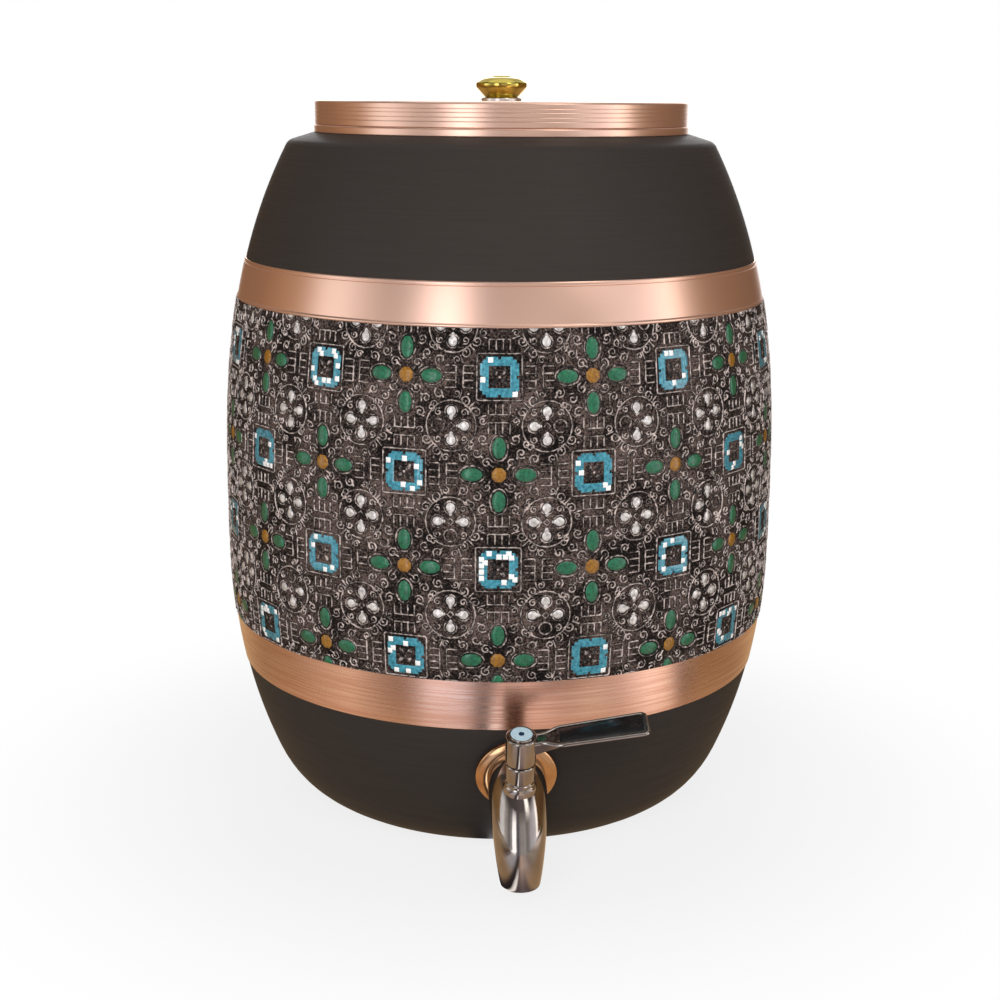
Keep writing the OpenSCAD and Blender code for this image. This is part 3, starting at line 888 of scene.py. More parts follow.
    def lay(self, host: Host, motif: list[Socket], share: float = 1.0, seed: int = 0) -> None:
        """Repeats a motif over the lattice.

        Args:
            host: Points that carry it.
            motif: Its shapes.
            share: Share of the points that get it.
            seed: Seed of the choice.
        """
        points, chosen = self.lattice(host)
        pick = add_node(self.tree, "FunctionNodeRandomValue", {"Probability": share, "Seed": seed},
                        data_type="BOOLEAN").outputs["Value"]
        both = add_node(self.tree, "FunctionNodeBooleanMath", {0: chosen, 1: pick}, operation="AND").outputs[0]
        whole = add_node(self.tree, "GeometryNodeJoinGeometry", {0: motif}).outputs[0]
        self.laid.append(add_node(self.tree, "GeometryNodeInstanceOnPoints",
                                  {"Points": points, "Selection": both, "Instance": whole}).outputs[0])

    def scatter(self, host: Host, curve: Socket, glint: Socket, count: int, share: float, seed: int) -> None:
        """Sets glint squares, painted highlights, on some of the places along a curve of every motif.

        Args:
            host: Points that carry the curve.
            curve: The curve within its motif.
            glint: Shape of a painted glint.
            count: Places along the curve.
            share: Share of the places that get a glint.
            seed: Seed of the choice.
        """
        points, chosen = self.lattice(host)
        rings = add_node(self.tree, "GeometryNodeInstanceOnPoints",
                         {"Points": points, "Selection": chosen, "Instance": curve}).outputs[0]
        rings = add_node(self.tree, "GeometryNodeRealizeInstances", {0: rings}).outputs[0]
        spots = add_node(self.tree, "GeometryNodeCurveToPoints", {"Curve": rings, "Count": count},
                         mode="COUNT").outputs["Points"]
        pick = add_node(self.tree, "FunctionNodeRandomValue", {"Probability": share, "Seed": seed},
                        data_type="BOOLEAN")
        lifted = add_node(self.tree, "GeometryNodeSetPosition",
                          {"Geometry": spots, "Offset": (0.0, 0.0, 0.25 * MM)}).outputs[0]
        self.laid.append(add_node(self.tree, "GeometryNodeInstanceOnPoints",
                                  {"Points": lifted, "Selection": pick.outputs["Value"], "Instance": glint,
                                   "Rotation": (0.0, 0.0, math.pi / 4)}).outputs[0])

    def mesh(self, finish: Finish) -> bpy.types.Mesh:
        """Closes the tree, runs it once and keeps the plain mesh.

        Args:
            finish: Finish of the relief.

        Returns:
            The relief as a flat mesh in metres, X along the girth, Y upwards and Z out of the sheet.
        """
        tree = self.tree
        whole = add_node(tree, "GeometryNodeJoinGeometry", {0: self.laid}).outputs[0]
        whole = add_node(tree, "GeometryNodeRealizeInstances", {0: whole}).outputs[0]
        whole = add_node(tree, "GeometryNodeSetMaterial",
                         {"Geometry": whole, "Material": finish.material()}).outputs[0]
        add_node(tree, "NodeGroupOutput", {0: whole})
        carrier = bpy.data.objects.new(tree.name, bpy.data.meshes.new(tree.name))
        bpy.context.scene.collection.objects.link(carrier)
        modifier = carrier.modifiers.new("relief", "NODES")
        modifier.node_group = tree
        for label, value in self.sizes.items():
            modifier[self.keys[label]] = value
        graph = bpy.context.evaluated_depsgraph_get()
        made = bpy.data.meshes.new_from_object(carrier.evaluated_get(graph))
        carrier.modifiers.remove(modifier)
        bpy.data.objects.remove(carrier)
        return made


@dataclass(frozen=True)
class Belt:
    """Embossed and enamelled belt between the two bands."""

    barrel: Barrel = Barrel()
    low: float = 82.9
    high: float = 214.3
    sheet: float = 0.45
    column_pitch: float = 35.0
    row_pitch: float = 35.2
    middle_z: float = 144.4
    columns: int = 21
    rows: int = 4
    facing_deg: float = -3.9
    seam_reach: float = 359.0
    ridge_h: float = 0.45
    frame_mid: float = 10.8
    petals: tuple[Point, ...] = ((4.8, 0.0), (-4.8, 0.0), (0.0, 5.2), (0.0, -5.2))

    def tree(self, name: str) -> ReliefTree:
        """Opens a tree with the belt's sizes.

        Args:
            name: Name of the tree.

        Returns:
            The tree.
        """
        width, height = (self.columns - 1) * self.column_pitch, (self.rows - 1) * self.row_pitch
        return ReliefTree(name, {
            "Cell columns": float(self.columns), "Cell rows": float(self.rows),
            "Cell width": width * MM, "Cell height": height * MM,
            "Rosette columns": self.columns + 1.0, "Rosette rows": self.rows + 1.0,
            "Rosette width": (width + self.column_pitch) * MM,
            "Rosette height": (height + self.row_pitch) * MM})

    def wrap(self, name: str, mesh: bpy.types.Mesh) -> bpy.types.Mesh:
        """Cuts flat relief off at the belt's edges and seam, closes the cuts and bends it round the barrel.

        Args:
            name: Name of the mesh.
            mesh: Flat relief in metres.

        Returns:
            The bent mesh, with the height of the relief in the attribute "ridge".
        """
        shape = bmesh.new()
        shape.from_mesh(mesh)
        low, high, reach = self.low - self.middle_z, self.high - self.middle_z, self.seam_reach
        for edge, way in ((Vector((0, low, 0)), (0, -1, 0)), (Vector((0, high, 0)), (0, 1, 0)),
                          (Vector((-reach, 0, 0)), (-1, 0, 0)), (Vector((reach, 0, 0)), (1, 0, 0))):
            bmesh.ops.bisect_plane(shape, geom=[*shape.verts, *shape.edges, *shape.faces], dist=1e-7,
                                   plane_co=edge * MM, plane_no=way, clear_outer=True)
        open_edges = [edge for edge in shape.edges if edge.is_boundary]
        bmesh.ops.holes_fill(shape, edges=open_edges, sides=0)
        bmesh.ops.recalc_face_normals(shape, faces=shape.faces)
        ridge = shape.verts.layers.float.new("ridge")
        for vert in shape.verts:
            x, y, z = vert.co / MM
            vert[ridge] = z / self.ridge_h
            radius = self.barrel.radius(y + self.middle_z) + self.sheet + z
            angle = x / self.barrel.belly_r + math.radians(self.facing_deg)
            vert.co = Vector((radius * math.sin(angle), -radius * math.cos(angle), y + self.middle_z)) * MM
        mesh.name = name
        shape.to_mesh(mesh)
        shape.free()
        mesh.shade_smooth()
        mesh.set_sharp_from_angle(angle=math.radians(50.0))
        return mesh

    def keep_relief(self, name: str, tree: ReliefTree, finish: Finish) -> None:
        """Turns a finished tree to a piece of the vessel.

        Args:
            name: Name of the piece.
            tree: The tree with its motifs laid.
            finish: Finish of the relief.
        """
        mesh = self.wrap(name, tree.mesh(finish))
        mesh.materials.clear()
        keep(link_mesh(name, mesh, (finish,)), Body.VESSEL, Slot.EMBOSSED)

    def build(self) -> None:
        """Makes the sheet and every layer of its relief."""
        self.build_sheet()
        self.build_enamel()
        self.build_wires()

    def build_sheet(self) -> None:
        """Turns the punched ground sheet."""
        face = self.barrel.run(self.low, self.high, self.sheet, 48)
        back = self.barrel.run(self.high, self.low, 0.1, 24)
        sheet = lathe("embossed_belt_ground", face + back, (GROUND,), turns=256)
        keep(sheet, Body.VESSEL, Slot.EMBOSSED, "embossed_sleeve")

    def square(self, tree: ReliefTree, side_mm: float, rounding_mm: float) -> Socket:
        """Draws a square with rounded corners.

        Args:
            tree: Tree that takes it.
            side_mm: Length of a side.
            rounding_mm: Rounding of its corners.

        Returns:
            The square as a curve.
        """
        ring = add_node(tree.tree, "GeometryNodeCurvePrimitiveQuadrilateral",
                        {"Width": side_mm * MM, "Height": side_mm * MM}, mode="RECTANGLE").outputs[0]
        return add_node(tree.tree, "GeometryNodeFilletCurve",
                        {"Curve": ring, "Count": 3, "Radius": rounding_mm * MM}, mode="POLY").outputs[0]

    def build_enamel(self) -> None:
        """Lays the enamel cells and the tinned petals."""
        tree = self.tree("green_petals")
        tree.lay(Host.FLOWER, tree.four(tree.dome(3.9, 2.45, 0.45), 9.8, 0.0))
        self.keep_relief("belt_green_petals", tree, GREEN)
        tree = self.tree("ochre_middles")
        tree.lay(Host.FLOWER, [tree.put(tree.dome(2.8, 2.8, 0.45, 8), 0.0, 0.0, 22.5)])
        self.keep_relief("belt_ochre_middles", tree, OCHRE)
        tree = self.tree("turquoise_frames")
        half = self.frame_mid / 2
        lobes = tree.four(tree.bar(2 * half + 1.2, 3.4, 0.42), half - 0.3, -half - 0.6, 90.0)
        for start in (0.55 - half, 0.55):
            lobes += tree.four(tree.bar(half - 1.1, 3.0, 0.36), half + 0.75, start, 90.0)
        tree.lay(Host.FRAME, lobes)
        self.keep_relief("belt_turquoise_frames", tree, TURQUOISE)
        # White squares on the frames: painted highlights for glints on the enamel.
        tree = self.tree("painted_glints")
        glint = tree.dome(1.4, 1.4, 0.3, 4)
        tree.scatter(Host.FRAME, self.square(tree, self.frame_mid - 1.2, 0.3), glint, 16, 0.2, 7)
        tree.scatter(Host.FRAME, self.square(tree, self.frame_mid + 1.2, 0.3), glint, 20, 0.18, 11)
        self.keep_relief("belt_white_chips", tree, GLINT_WHITE)
        tree = self.tree("tinned_petals")
        for seed, (x, y) in enumerate(self.petals):
            turn = 90.0 if y else 0.0
            drop = [tree.put(tree.dome(1.85, 1.7, 0.42), x, y, turn), tree.put(tree.dome(1.3, 0.8, 0.34, 8),
                                                                             x * 0.64, y * 0.64, turn)]
            tree.lay(Host.ROSETTE, drop, 0.92, seed)
        self.keep_relief("belt_tinned_petals", tree, TINNED)

    def build_wires(self) -> None:
        """Lays the raised scrolls, frets and outlines between the cells."""
        tree = self.tree("raised_scrolls")
        left, right = tree.curl(2.1, 1.3, False), tree.curl(2.1, 1.3, True)
        small_left, small_right = tree.curl(1.5, 1.2, False), tree.curl(1.5, 1.2, True)
        dot = tree.dome(0.6, 0.6, 0.4, 6, 4)
        leaf = tree.dome(1.6, 0.9, 0.16, 8, 4)
        motif = [tree.wire(self.square(tree, 16.6, 0.8)), tree.put(dot, 0.0, 0.0)]
        motif += tree.four(leaf, 1.7, 1.7, 45.0)
        for shift in (-3.9, -1.3, 1.3, 3.9):
            motif += tree.four(tree.bar(3.6), 9.6, shift)
        motif += tree.four(tree.bar(7.8), 13.3, -3.9, 90.0)
        motif += tree.four(left, 12.6, 8.4, 200.0) + tree.four(right, 8.4, 12.6, 250.0)
        motif += tree.four(small_left, 15.6, 6.0, 90.0) + tree.four(small_right, 15.6, -6.0, 0.0)
        motif += tree.four(tree.bar(3.4), 8.9, 8.9, 45.0) + tree.four(dot, 11.4, 6.0)
        tree.lay(Host.FRAME, motif)
        motif = tree.four(tree.oval(4.7, 3.25, 16, 0.32), 9.8, 0.0)
        motif += tree.four(left, 4.4, 4.4, 30.0) + tree.four(right, 13.0, 5.8, 120.0)
        motif += tree.four(left, 5.8, 13.0, 330.0) + tree.four(right, 8.0, 8.0, 200.0)
        motif += tree.four(small_left, 11.3, 10.0, 60.0) + tree.four(small_right, 10.0, 11.3, 210.0)
        for shift in (-3.9, -1.3, 1.3, 3.9):
            motif += tree.four(tree.bar(3.8), 15.0, shift)
        motif += tree.four(tree.bar(7.8), 19.0, -3.9, 90.0)
        motif += tree.four(dot, 6.6, 6.1) + tree.four(tree.bar(2.4), 3.0, 2.0, 60.0)
        tree.lay(Host.FLOWER, motif)
        motif = [tree.put(tree.oval(2.4, 2.4, 10, 0.34), x, y) for x, y in self.petals]
        motif += [tree.oval(9.2, 9.2, 24), tree.oval(1.2, 1.2, 4, 0.4)]
        motif += tree.four(small_left, 4.8, 4.8, 45.0)
        motif += tree.four(tree.bar(3.0), 10.0, 3.0, 20.0) + tree.four(tree.bar(3.0), 10.0, -3.0, -20.0)
        tree.lay(Host.ROSETTE, motif)
        self.keep_relief("belt_raised_scrolls", tree, RIDGE)


@dataclass(frozen=True)
class Lid:
    """Lift-off lid with its knob."""

    base_z: float = 282.97
    top_z: float = 292.55
    radius: float = 75.7
    sheet: float = 0.9
    rounding: float = 2.0
    rosette_r: float = 8.2
    rosette_t: float = 1.3
    knob_h: float = 8.6
    knob_r: float = 10.5
    foot_r: float = 6.6
    rim_z: float = 4.2
    rim_h: float = 1.6
    button_r: float = 4.0
    button_h: float = 0.5
    line_zs: tuple[float, ...] = (290.0, 288.6, 286.9, 285.3)

    def build(self) -> None:
        """Makes the cap, the rosette and the knob, and dresses the fastening."""
        inner = self.radius - self.sheet
        lines = [(self.radius - cut, z + drop, 0.04) for z in self.line_zs
                 for cut, drop in ((0.0, 0.2), (0.08, 0.0), (0.0, -0.2))]
        cap = soften([(0.0, self.top_z, 0), (self.radius, self.top_z, self.rounding), *lines,
                      (self.radius, self.base_z, 0.5), (inner, self.base_z, 0.2),
                      (inner, self.top_z - self.sheet, 1.2), (0.0, self.top_z - self.sheet, 0)], 8)
        keep(lathe("spun_lid_cap", cap, (COPPER,), turns=256), Body.LID, Slot.BRUSHED, "lid_cap")
        seat = self.top_z + self.rosette_t
        rosette = soften([(0.0, self.top_z, 0), (self.rosette_r, self.top_z, 0), (self.rosette_r, seat, 0.7),
                          (0.0, seat, 0)])
        keep(lathe("turned_rosette", rosette, (NICKEL,), turns=96), Body.LID, Slot.BRASS, "knob_rosette")
        top = seat + self.knob_h
        rim = seat + self.rim_z
        knob = soften([(0.0, seat, 0), (self.foot_r, seat, 0.3), (self.knob_r, rim, 0.8),
                       (self.knob_r, rim + self.rim_h, 0.6), (7.9, top - self.button_h - 0.4, 1.6),
                       (self.button_r + 0.5, top - self.button_h, 0.6), (self.button_r, top, 0.7), (0.0, top, 0)])
        keep(lathe("turned_knob", knob, (BRASS,), turns=128), Body.LID, Slot.BRASS, "lid_knob")
        for node in ("knob_washer", "knob_screw"):
            dress_solid(node, BRASS)


@dataclass(frozen=True)
class Tap:
    """Lever tap, in a frame at its valve: X to the right, Y into the wall, Z along the stem."""

    valve_out: float = 17.5
    flange_r: float = 15.6
    flange_back: float = 2.0
    flange_t: float = 3.6
    shank_r: float = 8.3
    chest_r: float = 11.2
    tip_r: float = 7.4
    taper: float = 1.8
    spout_wall: float = 1.8
    bonnet_r: float = 5.65
    bonnet_z: float = 7.0
    bonnet_top: float = 18.1
    path: tuple[Point, ...] = ((5.6, 0.0), (20.5, 0.0), (31.5, -14.52), (35.0, -26.0))

    @property
    def place(self) -> Matrix:
        """Frame at the valve, from the lever's joint, in millimetres."""
        joint = next(j for j in frame["record"]["behaviour"]["joints"] if j["name"] == "lever_turn")
        stem = Vector(joint["axis"]).normalized()
        right = Vector((1.0, 0.0, 0.0))
        inward = stem.cross(right)
        turn = Matrix((right, inward, stem)).transposed().to_4x4()
        return Matrix.Translation(Vector(joint["pos_m"]) / MM) @ turn

    @property
    def wall_place(self) -> Matrix:
        """Frame on the wall with Z out along the shank, in millimetres."""
        seat = self.place @ Matrix.Translation((0.0, self.valve_out, 0.0))
        return seat @ Matrix.Rotation(math.pi / 2, 4, "X")

    def build(self) -> None:
        """Makes the plated pieces and dresses what stays as solids."""
        self.build_body()
        front = self.flange_back + self.flange_t
        flange = soften([(self.shank_r, self.flange_back, 0), (self.flange_r, self.flange_back, 0.3),
                         (self.flange_r, front - 1.6, 0.7), (self.flange_r - 2.6, front, 1.6),
                         (self.shank_r, front, 0)])
        # The flange's copper tint is a painted reflection.
        piece = lathe("flange_plate", flange, (FLANGE_PAINTED_REFLECTION,), place=self.wall_place, turns=128)
        keep(piece, Body.VESSEL, Slot.CHROME, "tap_flange")
        r, low, top = self.bonnet_r, self.bonnet_z, self.bonnet_top
        bonnet = soften([(3.1, low, 0), (r, low, 0), (r, low + 2.9, 0.15), (r - 0.4, low + 3.2, 0.15),
                         (r - 0.4, low + 3.7, 0.15), (r, low + 4.0, 0.15), (r, top, 1.0), (3.1, top, 0.1)])
        piece = lathe("bonnet_collar", bonnet, (CHROME,), place=self.place, turns=96)
        keep(piece, Body.VESSEL, Slot.CHROME, "bonnet")
        for node in ("outer_washer", "inner_washer", "spindle_o_rings"):
            dress_solid(node, RUBBER)
        for node in ("nut_washer", "lock_nut", "spindle"):
            dress_solid(node, BRASS)

    def along(self, t: float) -> tuple[Vector, Vector]:
        """Point and direction of the spout's middle line.

        Args:
            t: Share of the way, from 0 at the flange to 1 at the tip.

        Returns:
            The point and the unit direction, out of the wall and along the stem.
        """
        a, b, c, d = (Vector(spot) for spot in self.path)
        u = 1 - t
        spot = a * u ** 3 + b * 3 * u * u * t + c * 3 * u * t * t + d * t ** 3
        way = (b - a) * 3 * u * u + (c - b) * 6 * u * t + (d - c) * 3 * t * t
        return spot, way.normalized()

    def ring(self, spot: Vector, way: Vector, radius: float, sides: int = 64) -> list[Vector]:
        """Circle across the spout.

        Args:
            spot: Its middle, out of the wall and along the stem.
            way: Direction of the spout there.
            radius: Its radius.
            sides: Number of points.

        Returns:
            Points of the circle in the valve's frame.
        """
        up = Vector((-way.y, way.x))
        points = []
        for k in range(sides):
            turn = 2 * math.pi * k / sides
            at = spot + up * (radius * math.cos(turn))
            points.append(Vector((radius * math.sin(turn), self.valve_out - at.x, at.y)))
        return points

    def build_body(self) -> None:
        """Lofts the cast elbow with an open, rounded spout, and adds the shank and the boss."""
        shape = bmesh.new()
        rings = []
        steps = 40
        for k in range(steps):
            t = k / steps
            spot, way = self.along(t)
            rings.append(self.ring(spot, way, self.chest_r + (self.tip_r - self.chest_r) * t ** self.taper))
        tip, way = self.along(1.0)
        inner = self.tip_r - self.spout_wall
        for back, radius in ((0.45, self.tip_r), (0.12, self.tip_r - 0.25), (0.0, self.tip_r - 0.7),
                             (0.1, inner + 0.3), (0.6, inner), (6.0, inner - 0.3), (15.0, inner - 1.2)):
            spot, direction = (tip - way * back, way) if back < 8 else self.along(0.55)
            rings.append(self.ring(spot, direction, radius))
        loft(shape, rings)
        shank = [[Vector((self.shank_r * math.sin(a), y, self.shank_r * math.cos(a)))
                  for a in (2 * math.pi * k / 64 for k in range(64))]
                 for y in (self.valve_out - 6.0, self.valve_out + 15.0)]
        loft(shape, shank)
        boss = [[Vector((r * math.sin(a), r * math.cos(a), z)) for a in (2 * math.pi * k / 64 for k in range(64))]
                for r, z in ((6.4, 2.0), (6.4, 6.9), (6.2, 7.7), (5.9, 8.4), (5.7, 8.8))]
        loft(shape, boss)
        piece = link_shape("cast_tap_body", shape, self.place, (CHROME,))
        keep(piece, Body.VESSEL, Slot.CHROME, "tap_body")


@dataclass(frozen=True)
class Lever:
    """Lever of the tap with its hub, inlay and cap, in the valve's frame."""

    tap: Tap = Tap()
    hub_r: float = 5.75
    hub_z: float = 18.4
    hub_top: float = 30.1
    length: float = 47.4
    neck_w: float = 6.6
    root_x: float = 13.8
    root_w: float = 12.2
    end_w: float = 13.6
    end_round: float = 2.4
    thick: float = 3.3
    paddle_z: float = 24.5
    rise_deg: float = 9.5
    rim_w: float = 1.75
    bead: float = 0.85
    inlay_t: float = 0.9
    cap_r: float = 4.7
    cap_top: float = 31.0
    disc_r: float = 4.05
    disc_t: float = 0.6

    @property
    def paddle_place(self) -> Matrix:
        """Frame of the paddle: X along it, Z out of its top."""
        rise = Matrix.Rotation(math.radians(-self.rise_deg), 4, "Y")
        return self.tap.place @ Matrix.Translation((0.0, 0.0, self.paddle_z)) @ rise

    def half_width(self, x: float) -> float:
        """Half the paddle's width.

        Args:
            x: Distance from the stem.

        Returns:
            Half the width there.
        """
        flare = min(max((x - 8.0) / (self.root_x + 1.5 - 8.0), 0.0), 1.0)
        flare = flare * flare * (3 - 2 * flare)
        part = min(max((x - self.root_x) / (self.length - self.root_x), 0.0), 1.0)
        plate = self.root_w + (self.end_w - self.root_w) * part
        return (self.neck_w + (plate - self.neck_w) * flare) / 2

    def outline(self, start: float, inset: float, rounding: float) -> list[Point]:
        """Outline of the paddle or of its inlay.

        Args:
            start: Where it begins, from the stem.
            inset: Distance inside the paddle's edge.
            rounding: Rounding of its far corners.

        Returns:
            Points in order round the outline.
        """
        end = self.length - inset
        stops = [start + (end - rounding - start) * k / 30 for k in range(31)]
        side = [(x, self.half_width(x) - inset) for x in stops]
        corner_y = self.half_width(end) - inset - rounding
        arc = [(end - rounding + rounding * math.sin(a), corner_y + rounding * math.cos(a))
               for a in (math.pi / 2 * k / 6 for k in range(1, 7))]
        half = side + arc
        return half + [(x, -y) for x, y in reversed(half)]

    def plate(self, shape: bmesh.types.BMesh, levels: Sequence[tuple[Sequence[Point], float]]) -> list:
        """Stacks outlines of equal count into a plate without its top.

        Args:
            shape: Mesh that takes the faces.
            levels: Outline and height of each level.

        Returns:
            Corners of the top level.
        """
        rings = [[shape.verts.new((x, y, z)) for x, y in points] for points, z in levels]
        skin(shape, rings)
        shape.faces.new(rings[0])
        return rings[-1]

    def build(self) -> None:
        """Makes the lever, its inlay, the cap screw and the disc."""
        self.build_lever()
        self.build_inlay()
        cap = soften([(0.0, self.hub_top - 6.0, 0), (1.25, self.hub_top - 6.0, 0), (1.25, self.hub_top, 0),
                      (self.cap_r, self.hub_top, 0.2), (self.cap_r, self.cap_top, 0.6),
                      (self.disc_r, self.cap_top, 0.1), (self.disc_r, self.cap_top - self.disc_t, 0),
                      (0.0, self.cap_top - self.disc_t, 0)])
        piece = lathe("cap_screw_head", cap, (CHROME,), place=self.tap.place, turns=96)
        keep(piece, Body.LEVER, Slot.CHROME, "cap_screw")
        low, top = self.cap_top - self.disc_t, self.cap_top - 0.05
        disc = [(0.0, low), (self.disc_r - 0.02, low), (self.disc_r - 0.02, top - 0.12), (self.disc_r - 0.2, top),
                (1.1, top), (1.05, top + 0.04), (0.0, top + 0.04)]
        piece = lathe("marker_disc", disc, (PALE_BLUE, DARK_BLUE), (0, 0, 0, 0, 1, 1), self.tap.place, 96)
        keep(piece, Body.LEVER, Slot.DISC, "indicator_disc")

    def build_lever(self) -> None:
        """Makes the hub and the paddle with its recess."""
        shape = bmesh.new()
        hub = soften([(2.2, self.hub_z, 0), (self.hub_r, self.hub_z, 1.1), (self.hub_r, self.hub_top, 0.7),
                      (2.2, self.hub_top, 0)])
        rings = [[shape.verts.new((r * math.sin(a), r * math.cos(a), z))
                  for a in (2 * math.pi * k / 96 for k in range(96))] for r, z in hub]
        for i, low in enumerate(rings):
            high = rings[(i + 1) % len(rings)]
            for k in range(96):
                n = (k + 1) % 96
                shape.faces.new((low[k], low[n], high[n], high[k]))
        levels = [(self.outline(0.5, 2.6, self.end_round - 1.6), 0.0)]
        for turn in (math.radians(22.5 * k) for k in range(7)):
            inset = self.bead * (1 - math.cos(turn))
            edge = self.outline(0.5, inset, self.end_round - 0.8 * inset)
            levels.append((edge, self.thick - self.bead * (1 - math.sin(turn))))
        low = levels[-1][1]
        tilt = self.tap.place.inverted() @ self.paddle_place
        paddle = bmesh.new()
        web = ((4.0, 3.2, -2.4), (9.0, 3.4, -1.2), (14.0, 4.2, 0.4), (20.0, 5.3, 1.7))
        top = self.thick - 0.9
        loft(paddle, [[Vector((x, -half, top)), Vector((x, half, top)), Vector((x, half - 0.6, sole)),
                       Vector((x, 0.6 - half, sole))] for x, half, sole in web])
        brim = self.plate(paddle, levels)
        well = self.outline(self.root_x + 0.6, self.rim_w, self.end_round - 1.0)
        well_low = [paddle.verts.new((x, y, self.thick - self.inlay_t)) for x, y in well]
        well_top = [paddle.verts.new((x, y, low)) for x, y in well]
        skin(paddle, [well_low, well_top])
        paddle.faces.new(well_low)
        loops = [paddle.edges.get((ring[k], ring[(k + 1) % len(ring)])) for ring in (brim, well_top)
                 for k in range(len(ring))]
        bmesh.ops.triangle_fill(paddle, edges=loops, use_beauty=True, use_dissolve=False)
        paddle.transform(tilt)
        carrier = bpy.data.meshes.new("paddle")
        paddle.to_mesh(carrier)
        paddle.free()
        shape.from_mesh(carrier)
        bpy.data.meshes.remove(carrier)
        piece = link_shape("plated_lever", shape, self.tap.place, (CHROME,))
        keep(piece, Body.LEVER, Slot.CHROME, "lever")

    def build_inlay(self) -> None:
        """Makes the bare black inlay in the paddle."""
        shape = bmesh.new()
        low = self.thick - self.inlay_t
        start = self.root_x + 0.6
        full = self.outline(start + 0.08, self.rim_w + 0.08, self.end_round - 1.05)
        crown = self.outline(start + 0.3, self.rim_w + 0.3, self.end_round - 1.2)
        top = self.plate(shape, [(full, low), (full, self.thick - 0.4), (crown, self.thick - 0.3)])
        shape.faces.new(top)
        piece = link_shape("lever_inlay", shape, self.paddle_place, (INLAY,))
        keep(piece, Body.LEVER, Slot.INLAY, "lever_insert")


# Panels of the light tent close to the foot, on the table, on its wall and under its roof: degrees from the
# camera, and tone.
NEAR_PANELS = ((-180, "#5c4c39"), (-40, "#7a6650"), (-9, "#7a6650"), (-6, "#2a2527"), (-2, "#161416"),
               (-1.2, "#e8e8ec"), (0.2, "#e8e8ec"), (1, "#3a3538"), (5, "#5c5256"), (8, "#463e40"),
               (11, "#7a6650"), (40, "#7a6650"), (180, "#5c4c39"))
FLOOR_PANELS = ((-180, "#2c261e"), (-140, "#7d6a4e"), (-100, "#5c4c39"), (-74, "#635341"),
                (-62, "#726150"), (-51, "#857769"), (-40, "#63584e"), (-31, "#483b31"), (-26, "#635e5d"),
                (-22, "#918f95"), (-11, "#878a95"), (-7, "#5d5a5c"), (-4, "#232020"), (-1, "#524a49"),
                (4, "#9e8c83"), (14, "#8b7f7e"), (22, "#746a67"), (31, "#807971"), (41, "#786e6a"),
                (53, "#aca29d"), (60, "#a0948a"), (67, "#2e2620"), (78, "#54462f"), (100, "#5c4c39"),
                (140, "#7d6a4e"), (180, "#2c261e"))
WALL_PANELS = ((-180, "#ffffff"), (-168, "#ffffff"), (-156, "#4d3925"), (-118, "#4d3925"),
               (-108, "#5f472b"), (-87, "#69543b"), (-84, "#7b6a59"), (-81, "#b0b2b6"), (-68, "#b6b9be"),
               (-60, "#908e8f"), (-50, "#737171"), (-43, "#5b5859"), (-38, "#6e6e71"), (-31, "#85878d"),
               (-28, "#f4f6ff"), (-15, "#fafaff"), (-12.5, "#70727b"), (-6, "#3b3d44"), (-1, "#67676d"),
               (6, "#7d7a78"), (13, "#7b7879"), (20, "#828285"), (32, "#64615f"), (40, "#78777a"),
               (46, "#929399"), (58, "#9d9ea5"), (69, "#b0b1b8"), (72, "#fafaff"), (78, "#f2eee9"),
               (81, "#503c26"), (150, "#3f2f22"), (168, "#ffffff"))
ROOF_PANELS = ((-180, "#7c7a7a"), (-130, "#7c7a7a"), (-115, "#332f2f"), (-20, "#3f3b3b"), (5, "#4b4649"),
               (26, "#4b4649"), (34, "#ffffff"), (44, "#ffffff"), (52, "#3f3b3b"), (115, "#332f2f"),
               (130, "#7c7a7a"), (180, "#7c7a7a"))


